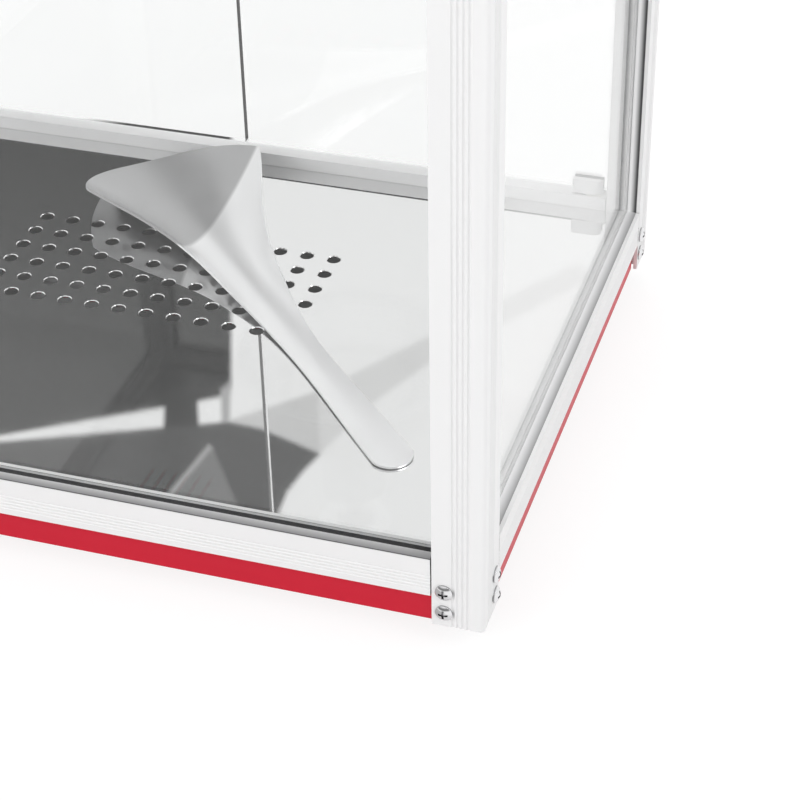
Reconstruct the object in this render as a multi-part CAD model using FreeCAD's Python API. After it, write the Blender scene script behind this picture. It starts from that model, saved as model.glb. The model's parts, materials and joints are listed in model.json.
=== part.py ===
import FreeCAD, Part
import math
import os

# Countertop chip warmer: a glass display cabinet on four corner posts, with a heat lamp,
# a perforated deck over a crumb drawer, two rear doors and a loose scoop.
# Origin: where it stands, midway between its sides and between its front screws and its door knobs.
# +X right seen from the front, +Y to the rear, +Z up.

Vector = FreeCAD.Vector
ZERO = Vector(0, 0, 0)
AXIS_X = Vector(1, 0, 0)
AXIS_Y = Vector(0, 1, 0)
AXIS_Z = Vector(0, 0, 1)

# Driving sizes of the cabinet, in millimetres
width = 488.0
depth = 355.0
foot_height = 12.0
post_length = 530.0
post_width = 25.0
skirt_height = 16.5
rail_height = 21.0
top_panel_height = 85.0
panel_recess = 3.1
sheet = 1.2
seat_gap = 0.3
overrun = 1.0

# Extruded frame: walls, glazing channel and decoration
wall = 2.0
channel_width = 10.6
channel_depth = 9.0
corner_radius = 2.5
flute_count = 4
flute_pitch = 2.4
flute_depth = 0.55
flute_half_width = 0.8
flute_start = 10.2
groove_count = 5
groove_pitch = 1.9
groove_depth = 0.4
groove_half_width = 0.55
groove_start = 3.8
screw_channel_radius = 2.1
screw_channel_inset = 8.5
rail_end_gap = 0.6
ledge_width = 4.0
ledge_top = 11.8

# Glass and glazing rubber
front_glass_setback = 5.2
side_glass_setback = 7.2
glass_thickness = 4.0
rubber_gap = 0.1
rubber_floor = 1.5
rubber_lip = 0.6
rubber_inner_rise = 0.5
rubber_edge_drop = 0.3
rubber_cover = 0.4
rubber_cover_setback = 0.2

# Deck and ceiling
hole_pitch = 16.0
hole_radius = 3.7
hole_columns = 12
hole_rows = 6
hole_offset_y = 30.5
hole_rim = 0.4
vent_length = 30.0
vent_width = 4.0
vent_pitch = 10.0
vent_count = 6
vent_side_share = 0.66

# Frame screws, joint plates
head_radius = 4.15
head_height = 2.5
shank_radius = 2.1
shank_length = 6.0
long_screw_length = 11.0
cross_width = 1.1
cross_length = 4.6
cross_depth = 1.5
hole_clearance = 0.06
screw_inset = 5.9
screw_low_z = 8.0
screw_high_z = 20.0
plate_thickness = 2.0
plate_gap = 0.15
plate_tongue = 14.0
plate_low_z = 3.0

# Feet
foot_radius = 14.0
foot_base_radius = 11.5
foot_inset = 45.0
foot_recess_radius = 6.0
foot_recess_depth = 6.0

# Crumb drawer
drawer_half_width = 108.0
drawer_front_y = -24.0
drawer_height = 11.0
drawer_lift = 0.6
drawer_side_gap = 0.8
drawer_panel_overlap = 7.0
runner_height = 9.0
runner_foot = 8.0
pull_radius = 5.5
pull_stem_radius = 3.2
pull_length = 13.0

# Floor heater
heater_radius = 3.25
heater_half_width = 150.0
heater_front_inset = 40.0
heater_rear_y = 95.0
heater_bend = 22.0
heater_height = 12.0
saddle_width = 9.0
saddle_wall = 2.0
heater_end_radius = 5.0
heater_end_length = 14.0

# Rear doors
door_edge_gap = 1.0
door_meeting_gap = 2.0
door_floor_gap = 2.5
door_glass = 5.0
pivot_edge = 8.0
pivot_inset = 8.0
clamp_gap = 1.0
clamp_length = 18.0
clamp_height = 9.0
clamp_half_thickness = 5.5
clamp_slot_gap = 0.05
pin_radius = 3.0
pin_length = 7.0
bush_radius = 4.5
bush_bore_clearance = 0.06
bush_length = 8.0
bush_flange_radius = 6.6
bush_flange = 0.7
knob_inset = 26.0
knob_stem_radius = 4.0
knob_radius = 12.0
knob_length = 24.0
knob_screw_radius = 3.0
knob_height_share = 0.82
catch_length = 44.0
catch_height = 10.0
catch_depth = 12.0
catch_gap = 0.4
strike_width = 16.0
strike_thickness = 1.2

# Heat lamp
canopy_radius = 30.0
canopy_height = 10.0
stem_radius = 5.0
stem_length = 34.0
socket_radius = 21.0
socket_height = 40.0
socket_bore = 14.2
socket_bore_depth = 26.0
cap_radius = 13.4
bulb_radius = 46.0
bulb_length = 78.0
bulb_neck_radius = 17.0
shade_rim_radius = 84.0
shade_neck_radius = 23.5
shade_height = 122.0
shade_wall = 1.2
shade_bead = 1.8

# Lid
lid_lip = 14.0
lid_gap = 0.3
lid_corner = 4.0
lid_vent_share = 0.22

# Controls on the rear panel of the top housing
knob_end_distance = 89.0
switch_x = -46.0
switch_pitch = 34.0
lamp_x = 42.0
inlet_end_distance = 89.0
dial_radius = 30.0
dial_thickness = 0.8
thermostat_knob_radius = 19.0
thermostat_knob_height = 18.0
thermostat_shaft_radius = 3.0
thermostat_body_size = 34.0
thermostat_body_depth = 26.0
shaft_length = 30.0
bezel_width = 21.0
bezel_height = 30.0
bezel_thickness = 2.2
bezel_wall = 2.2
switch_body_depth = 22.0
rocker_gap = 0.5
rocker_reach = 3.4
rocker_pin_radius = 1.4
indicator_radius = 6.0
indicator_body_radius = 4.8
indicator_dome = 5.0
indicator_body_depth = 18.0
inlet_width = 48.0
inlet_height = 28.0
inlet_flange = 2.4
inlet_mouth_width = 25.0
inlet_mouth_height = 17.0
inlet_depth = 22.0
inlet_wall = 2.0
blade_width = 4.0
blade_thickness = 2.0
blade_reach = 15.0
blade_pitch = 7.0
blade_rise = 2.0
small_head_radius = 3.0
small_head_height = 1.8
small_shank_radius = 1.5
small_shank_length = 7.0
inlet_screw_pitch = 40.0
terminal_pitch = 12.0
terminal_count = 6
terminal_depth = 20.0
terminal_height = 16.0
terminal_screw_radius = 2.6
terminal_inlet_distance = 110.0

# Loose scoop, measured along its axis from the handle's tip
scoop_length = 345.0
scoop_nose = 52.0
scoop_sheet = 1.1
scoop_tip_x = 182.1
scoop_tip_y = -103.9
scoop_turn = 133.7
scoop_mouth_half_width = 54.0
scoop_mouth_depth = 20.0
scoop_station_shares = (0.0, 0.16, 0.29, 0.43, 0.52, 0.62, 0.73, 0.81, 1.0)
scoop_width_shares = (0.205, 0.185, 0.17, 0.225, 0.31, 0.435, 0.67, 0.88, 1.0)
scoop_depth_shares = (0.03, 0.03, 0.035, 0.11, 0.28, 0.55, 0.82, 0.92, 1.0)

# Shares that shape the small turned and moulded pieces
flat_share = 0.3
full_turn = 360.0
half_turn = 180.0
quarter_turn = 90.0
foot_share = 0.66
knob_neck_share = 0.42
knob_belly_share = 0.74
crown_share = 0.6
strike_share = 0.6
magnet_share = 0.3
magnet_place_share = 0.24
skirt_share = 0.42
edge_share = 0.5
round_share = 0.86
knob_shoulder_share = 0.93
knob_core_share = 0.78
grip_share = 0.24
grip_reach_share = 0.86
grip_round_share = 0.6
well_share = 0.62
rocker_root_share = 0.28
rocker_waist_share = 0.5
rocker_tip_share = 0.97
rocker_hollow_share = 1.25
rocker_low_share = 0.6
canopy_share = 0.72
canopy_drop_share = 0.8
nut_share = 1.9
socket_neck_share = 0.86
socket_round_share = 0.88
socket_bend_share = 0.06
socket_drop_share = 0.2
collar_share = 0.45
bulb_face_share = 0.2
cap_tip_share = 0.5
bulb_neck_share = 0.16
bulb_flare_share = 0.62
bulb_middle_share = 0.46
bulb_edge_share = 0.97
bulb_rim_share = 0.17
shade_top_share = 0.22
shoulder_drop_share = 0.3
belly_share = 0.74
belly_drop_share = 0.62

# Levels and planes that several pieces share
half_width = width / 2
half_depth = depth / 2
frame_bottom = foot_height
frame_top = frame_bottom + post_length
rail_bottom = frame_bottom + skirt_height
rail_top = rail_bottom + rail_height
upper_rail_top = frame_top - top_panel_height
upper_rail_bottom = upper_rail_top - rail_height
upper_datum = upper_rail_top + skirt_height
frame_depth = wall + channel_width + wall
deck_bottom = rail_bottom + ledge_top
deck_top = deck_bottom + sheet
ceiling_bottom = upper_rail_top - ledge_top + wall
ceiling_top = ceiling_bottom + sheet
opening_half_width = half_width - post_width
opening_half_depth = half_depth - post_width
panel_half_width = half_width - panel_recess
panel_half_depth = half_depth - panel_recess
rear_panel_face = panel_half_depth
rear_panel_back = panel_half_depth - sheet
door_axis_x = opening_half_width - pivot_edge
door_axis_y = half_depth - pivot_inset
knob_x = knob_end_distance - opening_half_width
inlet_x = opening_half_width - inlet_end_distance
terminal_x = inlet_x - terminal_inlet_distance
front_reach = half_depth + head_height
rear_reach = max(door_axis_y + door_glass / 2 + knob_length,
                 rear_panel_face + seat_gap + dial_thickness + thermostat_knob_height)
middle_y = (rear_reach - front_reach) / 2


class Outline:
    """A closed outline of lines and arcs, drawn in the plane that place() maps to space."""

    def __init__(self, place, start):
        self.place = place
        self.start = start
        self.here = start
        self.edges = []

    def line(self, *points):
        for point in points:
            self.edges.append(Part.makeLine(self.place(*self.here), self.place(*point)))
            self.here = point
        return self

    def arc(self, middle, end):
        curve = Part.Arc(self.place(*self.here), self.place(*middle), self.place(*end))
        self.edges.append(curve.toShape())
        self.here = end
        return self

    def dome(self, rise):
        """A spherical cap from here to the axis, rise above or below this point."""
        half, level = self.here
        radius = (half * half + rise * rise) / (2 * abs(rise))
        centre = level + rise - math.copysign(radius, rise)
        lean = math.asin(half / radius) / 2
        if abs(rise) > radius:
            lean = (math.pi - math.asin(half / radius)) / 2
        middle = (radius * math.sin(lean), centre + math.copysign(radius * math.cos(lean), rise))
        return self.arc(middle, (0, level + rise))

    def face(self):
        if self.here != self.start:
            self.line(self.start)
        return Part.Face(Part.Wire(self.edges))


def in_xy(x, y):
    return Vector(x, y, 0)


def in_xz(x, z):
    return Vector(x, 0, z)


def in_yz(y, z):
    return Vector(0, y, z)


def box(low, high):
    return Part.makeBox(high[0] - low[0], high[1] - low[1], high[2] - low[2], Vector(*low))


def rod(radius, start, end):
    low = Vector(*start)
    run = Vector(*end) - low
    return Part.makeCylinder(radius, run.Length, low, run)


def polygon(place, points):
    return Outline(place, points[0]).line(*points[1:]).face()


def slab(half_x, half_y, low, high, radius):
    """An upright slab centred on the origin, with rounded vertical corners."""
    solid = box((-half_x, -half_y, low), (half_x, half_y, high))
    upright = [edge for edge in solid.Edges if abs(edge.tangentAt(0).z) > math.cos(math.pi / 4)]
    return solid.makeFillet(radius, upright)


def mirror_x(shape):
    return shape.mirror(ZERO, AXIS_X)


def mirror_y(shape):
    return shape.mirror(ZERO, AXIS_Y)


def four_corners(shape):
    across = mirror_x(shape)
    return [shape, across, mirror_y(shape), mirror_y(across)]


def upside_down(shape):
    """The same piece at the top of the frame: low levels become high ones."""
    middle = (frame_bottom + upper_datum) / 2
    return shape.mirror(Vector(0, 0, middle), AXIS_Z)


def stepped(outline, first, count, pitch, half, deep, along):
    """Small round grooves cut into an outline's straight side, one after another."""
    for index in range(count):
        centre = first + index * pitch
        outline.line(along(centre - half, 0))
        outline.arc(along(centre, deep), along(centre + half, 0))
    return outline


def save(name, shape):
    """Every piece is drawn about the frame's own middle, so it moves by middle_y to the origin."""
    shape.translated(Vector(0, -middle_y, 0)).exportStep("parts/" + name + ".step")


def screw(radius, height, shank, length):
    """A cross-recess pan-head screw: its seat on z = 0, its head upward."""
    head = Outline(in_xz, (0, 0))
    head.line((radius, 0), (radius, height * flat_share))
    head.dome(height * (1 - flat_share))
    solid = head.face().revolve(ZERO, AXIS_Z, full_turn)
    solid = solid.fuse(rod(shank, (0, 0, -length), (0, 0, height * flat_share)))
    half = radius * cross_width / head_radius / 2
    reach = radius * cross_length / head_radius / 2
    deep = height * cross_depth / head_height
    for turn_x, turn_y in ((reach, half), (half, reach)):
        solid = solid.cut(box((-turn_x, -turn_y, height - deep), (turn_x, turn_y, height + overrun)))
    return solid.removeSplitter()


def corner_post():
    """Front-right extruded post: an L of two fluted legs with a glazing channel in each end."""
    def along_front(x, y):
        return (-post_width + x, y)

    def along_side(y, x):
        return (-x, y)

    def side_back(y, deep):
        return along_side(post_width - y, deep)

    outline = Outline(in_xy, (-post_width, 0))
    stepped(outline, flute_start, flute_count, flute_pitch, flute_half_width, flute_depth, along_front)
    bend = corner_radius * (1 - math.sqrt(0.5))
    outline.line((-corner_radius, 0))
    outline.arc((-bend, bend), (0, corner_radius))
    last = flute_start + (flute_count - 1) * flute_pitch
    for index in range(flute_count):
        centre = last - index * flute_pitch
        outline.line(side_back(centre + flute_half_width, 0))
        outline.arc(side_back(centre, flute_depth), side_back(centre - flute_half_width, 0))
    channel_end = post_width - channel_depth
    inner = wall + channel_width
    outline.line(
        (0, post_width), (-wall, post_width), (-wall, channel_end), (-inner, channel_end),
        (-inner, post_width), (-frame_depth, post_width), (-frame_depth, frame_depth),
        (-post_width, frame_depth), (-post_width, inner), (-channel_end, inner),
        (-channel_end, wall), (-post_width, wall),
    )
    post = outline.face().extrude(Vector(0, 0, post_length))
    hole = rod(
        screw_channel_radius,
        (-screw_channel_inset, screw_channel_inset, -overrun),
        (-screw_channel_inset, screw_channel_inset, post_length + overrun),
    )
    post = post.cut(hole)
    post.translate(Vector(half_width, -half_depth, frame_bottom))
    for place, direction in screw_places():
        start = place - direction * (wall + overrun)
        post = post.cut(Part.makeCylinder(
            shank_radius + hole_clearance, wall + overrun + overrun, start, direction))
    return post


def screw_places():
    """Seats of the frame screws on the front-right post, each with its outward direction."""
    low_levels = [frame_bottom + screw_low_z, frame_bottom + screw_high_z]
    levels = low_levels + [frame_bottom + upper_datum - level for level in low_levels]
    places = []
    for level in levels:
        front = Vector(opening_half_width + screw_inset, -half_depth, level)
        side = Vector(half_width, -opening_half_depth - screw_inset, level)
        places.append((front, Vector(0, -1, 0)))
        places.append((side, Vector(1, 0, 0)))
    return places


def frame_screws():
    """Pan-head screws in the post faces, down through the lid and up through the feet."""
    solids = []
    for place, direction in screw_places():
        item = screw(head_radius, head_height, shank_radius, shank_length)
        item.Placement = FreeCAD.Placement(place, FreeCAD.Rotation(AXIS_Z, direction))
        solids += four_corners(item)
    for x, y in lid_screw_places():
        item = screw(head_radius, head_height, screw_channel_radius - hole_clearance, long_screw_length)
        item.translate(Vector(x, y, frame_top + sheet))
        solids.append(item)
    for x, y in foot_places():
        item = screw(head_radius, head_height, shank_radius, long_screw_length)
        item.rotate(ZERO, AXIS_X, half_turn)
        item.translate(Vector(x, y, foot_recess_depth))
        solids.append(item)
    return Part.makeCompound(solids)


def joint_plates():
    """Steel plates behind each post face: upright in the post, with a tongue in the rail."""
    near = wall + plate_gap
    far = near + plate_thickness
    channel_end = post_width - channel_depth
    low = frame_bottom + plate_low_z
    tongue_low = rail_bottom + wall + plate_gap
    high = rail_bottom + rail_height - channel_depth - wall - plate_gap
    outer = half_width - channel_end - plate_gap
    inner = opening_half_width + plate_gap
    tongue = opening_half_width - plate_tongue
    points = [(outer, low), (outer, high), (tongue, high), (tongue, tongue_low),
              (inner, tongue_low), (inner, low)]
    front = polygon(in_xz, points).extrude(Vector(0, plate_thickness, 0))
    front.translate(Vector(0, -half_depth + near, 0))
    shift = half_depth - half_width
    turned = [(x + shift, z) for x, z in points]
    side = polygon(in_yz, [(-y, z) for y, z in turned]).extrude(Vector(-plate_thickness, 0, 0))
    side.translate(Vector(half_width - near, 0, 0))
    solids = []
    for plate in (front, side):
        for place, direction in screw_places():
            start = place - direction * (far + overrun)
            plate = plate.cut(Part.makeCylinder(
                shank_radius + hole_clearance, far + overrun + overrun, start, direction))
        solids += four_corners(plate)
        solids += [upside_down(item) for item in four_corners(plate)]
    return Part.makeCompound(solids)


def rail_section(open_channel):
    """Section of a rail: depth from the outer face against height above the rail's bottom."""
    def along_face(z, deep):
        return (deep, z)

    outline = Outline(in_yz, (0, 0))
    stepped(outline, groove_start, groove_count, groove_pitch, groove_half_width, groove_depth, along_face)
    inner = wall + channel_width
    channel_floor = rail_height - channel_depth
    outline.line((0, rail_height))
    if open_channel:
        outline.line((wall, rail_height), (wall, channel_floor))
        outline.line((inner, channel_floor), (inner, rail_height))
    outline.line(
        (frame_depth, rail_height), (frame_depth, ledge_top), (frame_depth + ledge_width, ledge_top),
        (frame_depth + ledge_width, ledge_top - wall), (frame_depth, ledge_top - wall), (frame_depth, 0),
    )
    ceiling = channel_floor - wall if open_channel else rail_height - wall
    hollow = polygon(in_yz, [(wall, wall), (inner, wall), (inner, ceiling), (wall, ceiling)])
    return outline.face().cut(hollow).Faces[0]


def rail(length, open_channel):
    """A straight rail along X, centred, its outer face on y = 0."""
    solid = rail_section(open_channel).extrude(Vector(length, 0, 0))
    solid.translate(Vector(-length / 2, 0, rail_bottom))
    return solid


def front_rail():
    solid = rail(2 * (opening_half_width - rail_end_gap), True)
    solid.translate(Vector(0, -half_depth, 0))
    return solid


def right_rail():
    solid = rail(2 * (opening_half_depth - rail_end_gap), True)
    trim = opening_half_depth + ledge_width - post_width + frame_depth
    corner = box((trim, frame_depth, 0), (half_depth, frame_depth + ledge_width + overrun, rail_top))
    solid = solid.cut(corner).cut(mirror_x(corner))
    solid.rotate(ZERO, AXIS_Z, quarter_turn)
    solid.translate(Vector(half_width, 0, 0))
    return solid


def door_rail():
    """Rear rail under the doors, with a hole for each pivot bush."""
    solid = rail(2 * (opening_half_width - rail_end_gap), False)
    solid = mirror_y(solid)
    solid.translate(Vector(0, half_depth, 0))
    for x in (door_axis_x, -door_axis_x):
        solid = solid.cut(rod(bush_radius + hole_clearance,
                              (x, door_axis_y, rail_top - wall - overrun),
                              (x, door_axis_y, rail_top + overrun)))
    return solid


def gasket_section(setback, inner_rise):
    """Section of the U-shaped glazing rubber: depth from the face against reach into the opening."""
    near = wall + rubber_gap
    far = wall + channel_width - rubber_gap
    glass_near = setback - rubber_gap
    glass_far = setback + glass_thickness + rubber_gap
    mouth = channel_depth - rubber_edge_drop
    lip = channel_depth + rubber_lip
    floor = rubber_gap + rubber_floor
    return [(near, rubber_gap), (far, rubber_gap), (far, mouth), (glass_far, lip + inner_rise),
            (glass_far, floor), (glass_near, floor), (glass_near, lip), (near, mouth)]


def gasket_cover(setback):
    """Section of the flap that laps from the rubber's outer lip over the top of the channel's wall."""
    near = wall + rubber_gap
    seat = channel_depth + rubber_gap
    return [(near, channel_depth - rubber_edge_drop), (near, seat), (rubber_cover_setback, seat),
            (rubber_cover_setback, seat + rubber_cover), (setback - rubber_gap, channel_depth + rubber_lip)]


def pane_limits(half_span):
    """Half the pane's width, then its lowest and highest level, all at the bottom of the rubber."""
    side = half_span + channel_depth - rubber_gap - rubber_floor - rubber_gap
    low = rail_top - channel_depth + rubber_gap + rubber_floor + rubber_gap
    high = upper_rail_bottom + channel_depth - rubber_gap - rubber_floor - rubber_gap
    return side, low, high


def glass_pane(half_span, setback):
    """A toughened pane along X behind a face on y = 0."""
    side, low, high = pane_limits(half_span)
    return box((-side, setback, low), (side, setback + glass_thickness, high))


def gasket_strip(points, reach, level, way):
    """One level strip of rubber along X; way is 1 over a lower rail and -1 under an upper one."""
    face = polygon(in_yz, [(y, level + way * r) for y, r in points])
    strip = face.extrude(Vector(2 * reach, 0, 0))
    strip.translate(Vector(-reach, 0, 0))
    return strip


def gasket(half_span, setback, covered):
    """Glazing rubber round one pane, along X behind a face on y = 0."""
    points = gasket_section(setback, rubber_inner_rise if covered else 0)
    floor_level = rail_top - channel_depth
    roof_level = upper_rail_bottom + channel_depth
    side = half_span + channel_depth
    solids = []
    for level, way in ((floor_level, 1), (roof_level, -1)):
        solids.append(gasket_strip(points, side - rubber_gap, level, way))
        if covered:
            solids.append(gasket_strip(gasket_cover(setback), half_span - rail_end_gap, level, way))
    rise = Vector(0, 0, roof_level - floor_level - 2 * rubber_gap)
    right_face = polygon(in_xy, [(side - r, y) for y, r in points])
    right_strip = right_face.extrude(rise)
    right_strip.translate(Vector(0, 0, floor_level + rubber_gap))
    ring = solids[0].fuse(solids[1:] + [right_strip, mirror_x(right_strip)])
    return ring.removeSplitter()


def to_front(shape):
    moved = shape.copy()
    moved.translate(Vector(0, -half_depth, 0))
    return moved


def to_right(shape):
    moved = shape.copy()
    moved.rotate(ZERO, AXIS_Z, quarter_turn)
    moved.translate(Vector(half_width, 0, 0))
    return moved


def base_tray():
    """Folded pan under the cabinet; its upstands are the coloured skirts between the posts."""
    low = frame_bottom
    high = rail_bottom
    outer = box((-panel_half_width, -panel_half_depth, low), (panel_half_width, panel_half_depth, high))
    inside_x = panel_half_width - sheet
    inside_y = panel_half_depth - sheet
    solid = outer.cut(box((-inside_x, -inside_y, low + sheet), (inside_x, inside_y, high + overrun)))
    corner_x = opening_half_width - seat_gap
    corner_y = opening_half_depth - seat_gap
    notch = box((corner_x, -half_depth, low - overrun), (half_width, -corner_y, high + overrun))
    for item in four_corners(notch):
        solid = solid.cut(item)
    window = drawer_half_width + drawer_side_gap
    solid = solid.cut(box((-window, inside_y - overrun, low + sheet),
                          (window, panel_half_depth + overrun, high + overrun)))
    for x, y in foot_places():
        hole = shank_radius + hole_clearance
        solid = solid.cut(rod(hole, (x, y, low - overrun), (x, y, low + sheet + overrun)))
    return solid


def foot_places():
    x = half_width - foot_inset
    y = half_depth - foot_inset
    return [(x, y), (x, -y), (-x, y), (-x, -y)]


def feet():
    solids = []
    for x, y in foot_places():
        bore = shank_radius + hole_clearance
        outline = Outline(in_xz, (foot_recess_radius, 0))
        outline.line((foot_base_radius, 0), (foot_radius, foot_height), (bore, foot_height))
        outline.line((bore, foot_recess_depth), (foot_recess_radius, foot_recess_depth))
        foot = outline.face().revolve(ZERO, AXIS_Z, full_turn)
        foot.translate(Vector(x, y, 0))
        solids.append(foot)
    return Part.makeCompound(solids)


def deck_plate():
    """Polished deck resting on the rails' ledges, with a block of countersunk crumb holes."""
    half_x = half_width - frame_depth - seat_gap
    half_y = half_depth - frame_depth - seat_gap
    plate = box((-half_x, -half_y, deck_bottom), (half_x, half_y, deck_top))
    cutters = []
    for column in range(hole_columns):
        x = (column - (hole_columns - 1) / 2) * hole_pitch
        for row in range(hole_rows):
            y = hole_offset_y + (row - (hole_rows - 1) / 2) * hole_pitch
            cutters.append(rod(hole_radius, (x, y, deck_bottom - overrun), (x, y, deck_top - hole_rim)))
            cutters.append(Part.makeCone(
                hole_radius, hole_radius + hole_rim, hole_rim, Vector(x, y, deck_top - hole_rim), AXIS_Z))
    return plate.cut(cutters)


def vent_slots(x, y, low, high):
    """Cutters for a row of ventilation slots that run along Y."""
    cutters = []
    for index in range(vent_count):
        middle = x + (index - (vent_count - 1) / 2) * vent_pitch
        half = vent_width / 2
        end = vent_length / 2 - half
        cutters.append(box((middle - half, y - end, low), (middle + half, y + end, high)))
        for side in (-end, end):
            cutters.append(rod(half, (middle, y + side, low), (middle, y + side, high)))
    return cutters


def ceiling_plate():
    half_x = half_width - frame_depth - seat_gap
    half_y = half_depth - frame_depth - seat_gap
    plate = box((-half_x, -half_y, ceiling_bottom), (half_x, half_y, ceiling_top))
    bore = stem_radius + hole_clearance
    cutters = [rod(bore, (0, 0, ceiling_bottom - overrun), (0, 0, ceiling_top + overrun))]
    for x in (half_x * vent_side_share, -half_x * vent_side_share):
        cutters += vent_slots(x, 0, ceiling_bottom - overrun, ceiling_top + overrun)
    return plate.cut(cutters)


def crumb_drawer():
    """Shallow drawer under the crumb holes, with the rear front that closes the skirt."""
    low = frame_bottom + sheet + drawer_lift
    high = low + drawer_height
    rear = panel_half_depth - sheet
    shell = box((-drawer_half_width, drawer_front_y, low), (drawer_half_width, rear, high))
    shell = shell.cut(box((-drawer_half_width + sheet, drawer_front_y + sheet, low + sheet),
                          (drawer_half_width - sheet, rear - sheet, high + overrun)))
    return shell


def drawer_front():
    side = drawer_half_width + drawer_panel_overlap
    low = frame_bottom + seat_gap
    high = rail_bottom - seat_gap
    face = panel_half_depth + seat_gap
    panel = box((-side, face, low), (side, face + sheet, high))
    filler_low = frame_bottom + sheet + drawer_lift
    filler = box((-drawer_half_width, panel_half_depth - sheet, filler_low), (drawer_half_width, face, high))
    panel = panel.fuse(filler).removeSplitter()
    middle = (low + high) / 2
    return panel.cut(rod(pull_stem_radius / 2 + hole_clearance,
                         (0, face - sheet - overrun, middle), (0, face + sheet + overrun, middle)))


def drawer_pull():
    low = frame_bottom + seat_gap
    high = rail_bottom - seat_gap
    face = panel_half_depth + seat_gap + sheet
    stem = pull_stem_radius / 2
    ball = pull_length - pull_radius - math.sqrt(pull_radius ** 2 - pull_stem_radius ** 2)
    outline = Outline(in_xz, (0, -sheet))
    outline.line((stem, -sheet), (stem, 0), (pull_stem_radius, 0), (pull_stem_radius, ball))
    outline.dome(pull_length - ball)
    pull = outline.face().revolve(ZERO, AXIS_Z, full_turn)
    pull.rotate(ZERO, AXIS_X, -quarter_turn)
    pull.translate(Vector(0, face, (low + high) / 2))
    return pull


def drawer_runners():
    """Two angle guides on the tray, one along each side of the drawer."""
    near = drawer_half_width + drawer_side_gap
    low = frame_bottom + sheet
    points = [(near, low), (near + runner_foot, low), (near + runner_foot, low + sheet),
              (near + sheet, low + sheet), (near + sheet, low + runner_height), (near, low + runner_height)]
    rear = panel_half_depth - sheet - seat_gap
    guide = polygon(in_xz, points).extrude(Vector(0, rear - drawer_front_y, 0))
    guide.translate(Vector(0, drawer_front_y, 0))
    return Part.makeCompound([guide, mirror_x(guide)])


def floor_heater():
    """Sheathed element bent in a U round the drawer, below the deck."""
    level = frame_bottom + sheet + heater_height
    front = -half_depth + heater_front_inset
    side = heater_half_width
    bend = heater_bend
    share = 1 - math.sqrt(0.5)
    start = Vector(side, heater_rear_y, level)
    edges = [
        Part.makeLine(start, Vector(side, front + bend, level)),
        Part.Arc(Vector(side, front + bend, level),
                 Vector(side - bend * share, front + bend * share, level),
                 Vector(side - bend, front, level)).toShape(),
        Part.makeLine(Vector(side - bend, front, level), Vector(-side + bend, front, level)),
        Part.Arc(Vector(-side + bend, front, level),
                 Vector(-side + bend * share, front + bend * share, level),
                 Vector(-side, front + bend, level)).toShape(),
        Part.makeLine(Vector(-side, front + bend, level), Vector(-side, heater_rear_y, level)),
    ]
    circle = Part.Wire(Part.makeCircle(heater_radius, start, AXIS_Y))
    return Part.Wire(edges).makePipeShell([circle], True, False)


def heater_saddles():
    """Ceramic saddles that carry the element above the tray, and the beads on its two ends."""
    base = frame_bottom + sheet
    bore = heater_radius + hole_clearance
    outer = bore + saddle_wall
    front = -half_depth + heater_front_inset
    middle = (front + heater_rear_y) / 2
    places = [(heater_half_width, middle, True), (-heater_half_width, middle, True)]
    places += [(heater_half_width, heater_rear_y - saddle_width, True),
               (-heater_half_width, heater_rear_y - saddle_width, True), (0, front, False)]
    half = saddle_width / 2
    solids = []
    for x, y, along_y in places:
        post = box((-outer, -half, 0), (outer, half, heater_height))
        post = post.fuse(rod(outer, (0, -half, heater_height), (0, half, heater_height)))
        post = post.cut(rod(bore, (0, -half - overrun, heater_height), (0, half + overrun, heater_height)))
        if not along_y:
            post.rotate(ZERO, AXIS_Z, quarter_turn)
        post.translate(Vector(x, y, base))
        solids.append(post)
    level = base + heater_height
    for x in (heater_half_width, -heater_half_width):
        solids.append(rod(heater_end_radius, (x, heater_rear_y, level),
                          (x, heater_rear_y + heater_end_length, level)))
    return Part.makeCompound(solids)


def door_panel():
    """Right-hand rear door glass, drilled for its knob."""
    low = rail_top + door_floor_gap + clamp_gap
    high = upper_rail_bottom - door_floor_gap - clamp_gap
    near = door_axis_y - door_glass / 2
    far = door_axis_y + door_glass / 2
    panel = box((door_meeting_gap / 2, near, low), (opening_half_width - door_edge_gap, far, high))
    x, z = knob_place()
    return panel.cut(rod(knob_screw_radius + hole_clearance, (x, near - overrun, z), (x, far + overrun, z)))


def knob_place():
    level = rail_top + (upper_rail_bottom - rail_top) * knob_height_share
    return door_meeting_gap / 2 + knob_inset, level


def door_knob():
    """Turned knob outside the glass, with its screw and a washer inside."""
    x, z = knob_place()
    glass = door_glass / 2
    outline = Outline(in_xz, (0, -glass - head_height))
    outline.line((head_radius, -glass - head_height), (head_radius, -glass), (knob_screw_radius, -glass),
                 (knob_screw_radius, glass), (knob_radius * foot_share, glass),
                 (knob_radius * foot_share, glass + sheet), (knob_stem_radius, glass + sheet * 2),
                 (knob_stem_radius, glass + knob_length * knob_neck_share))
    outline.arc((knob_radius, glass + knob_length * knob_belly_share),
                (knob_radius * crown_share, glass + knob_length))
    outline.line((0, glass + knob_length))
    knob = outline.face().revolve(ZERO, AXIS_Z, full_turn)
    knob.rotate(ZERO, AXIS_X, -quarter_turn)
    knob.translate(Vector(x, door_axis_y, z))
    return knob


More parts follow.
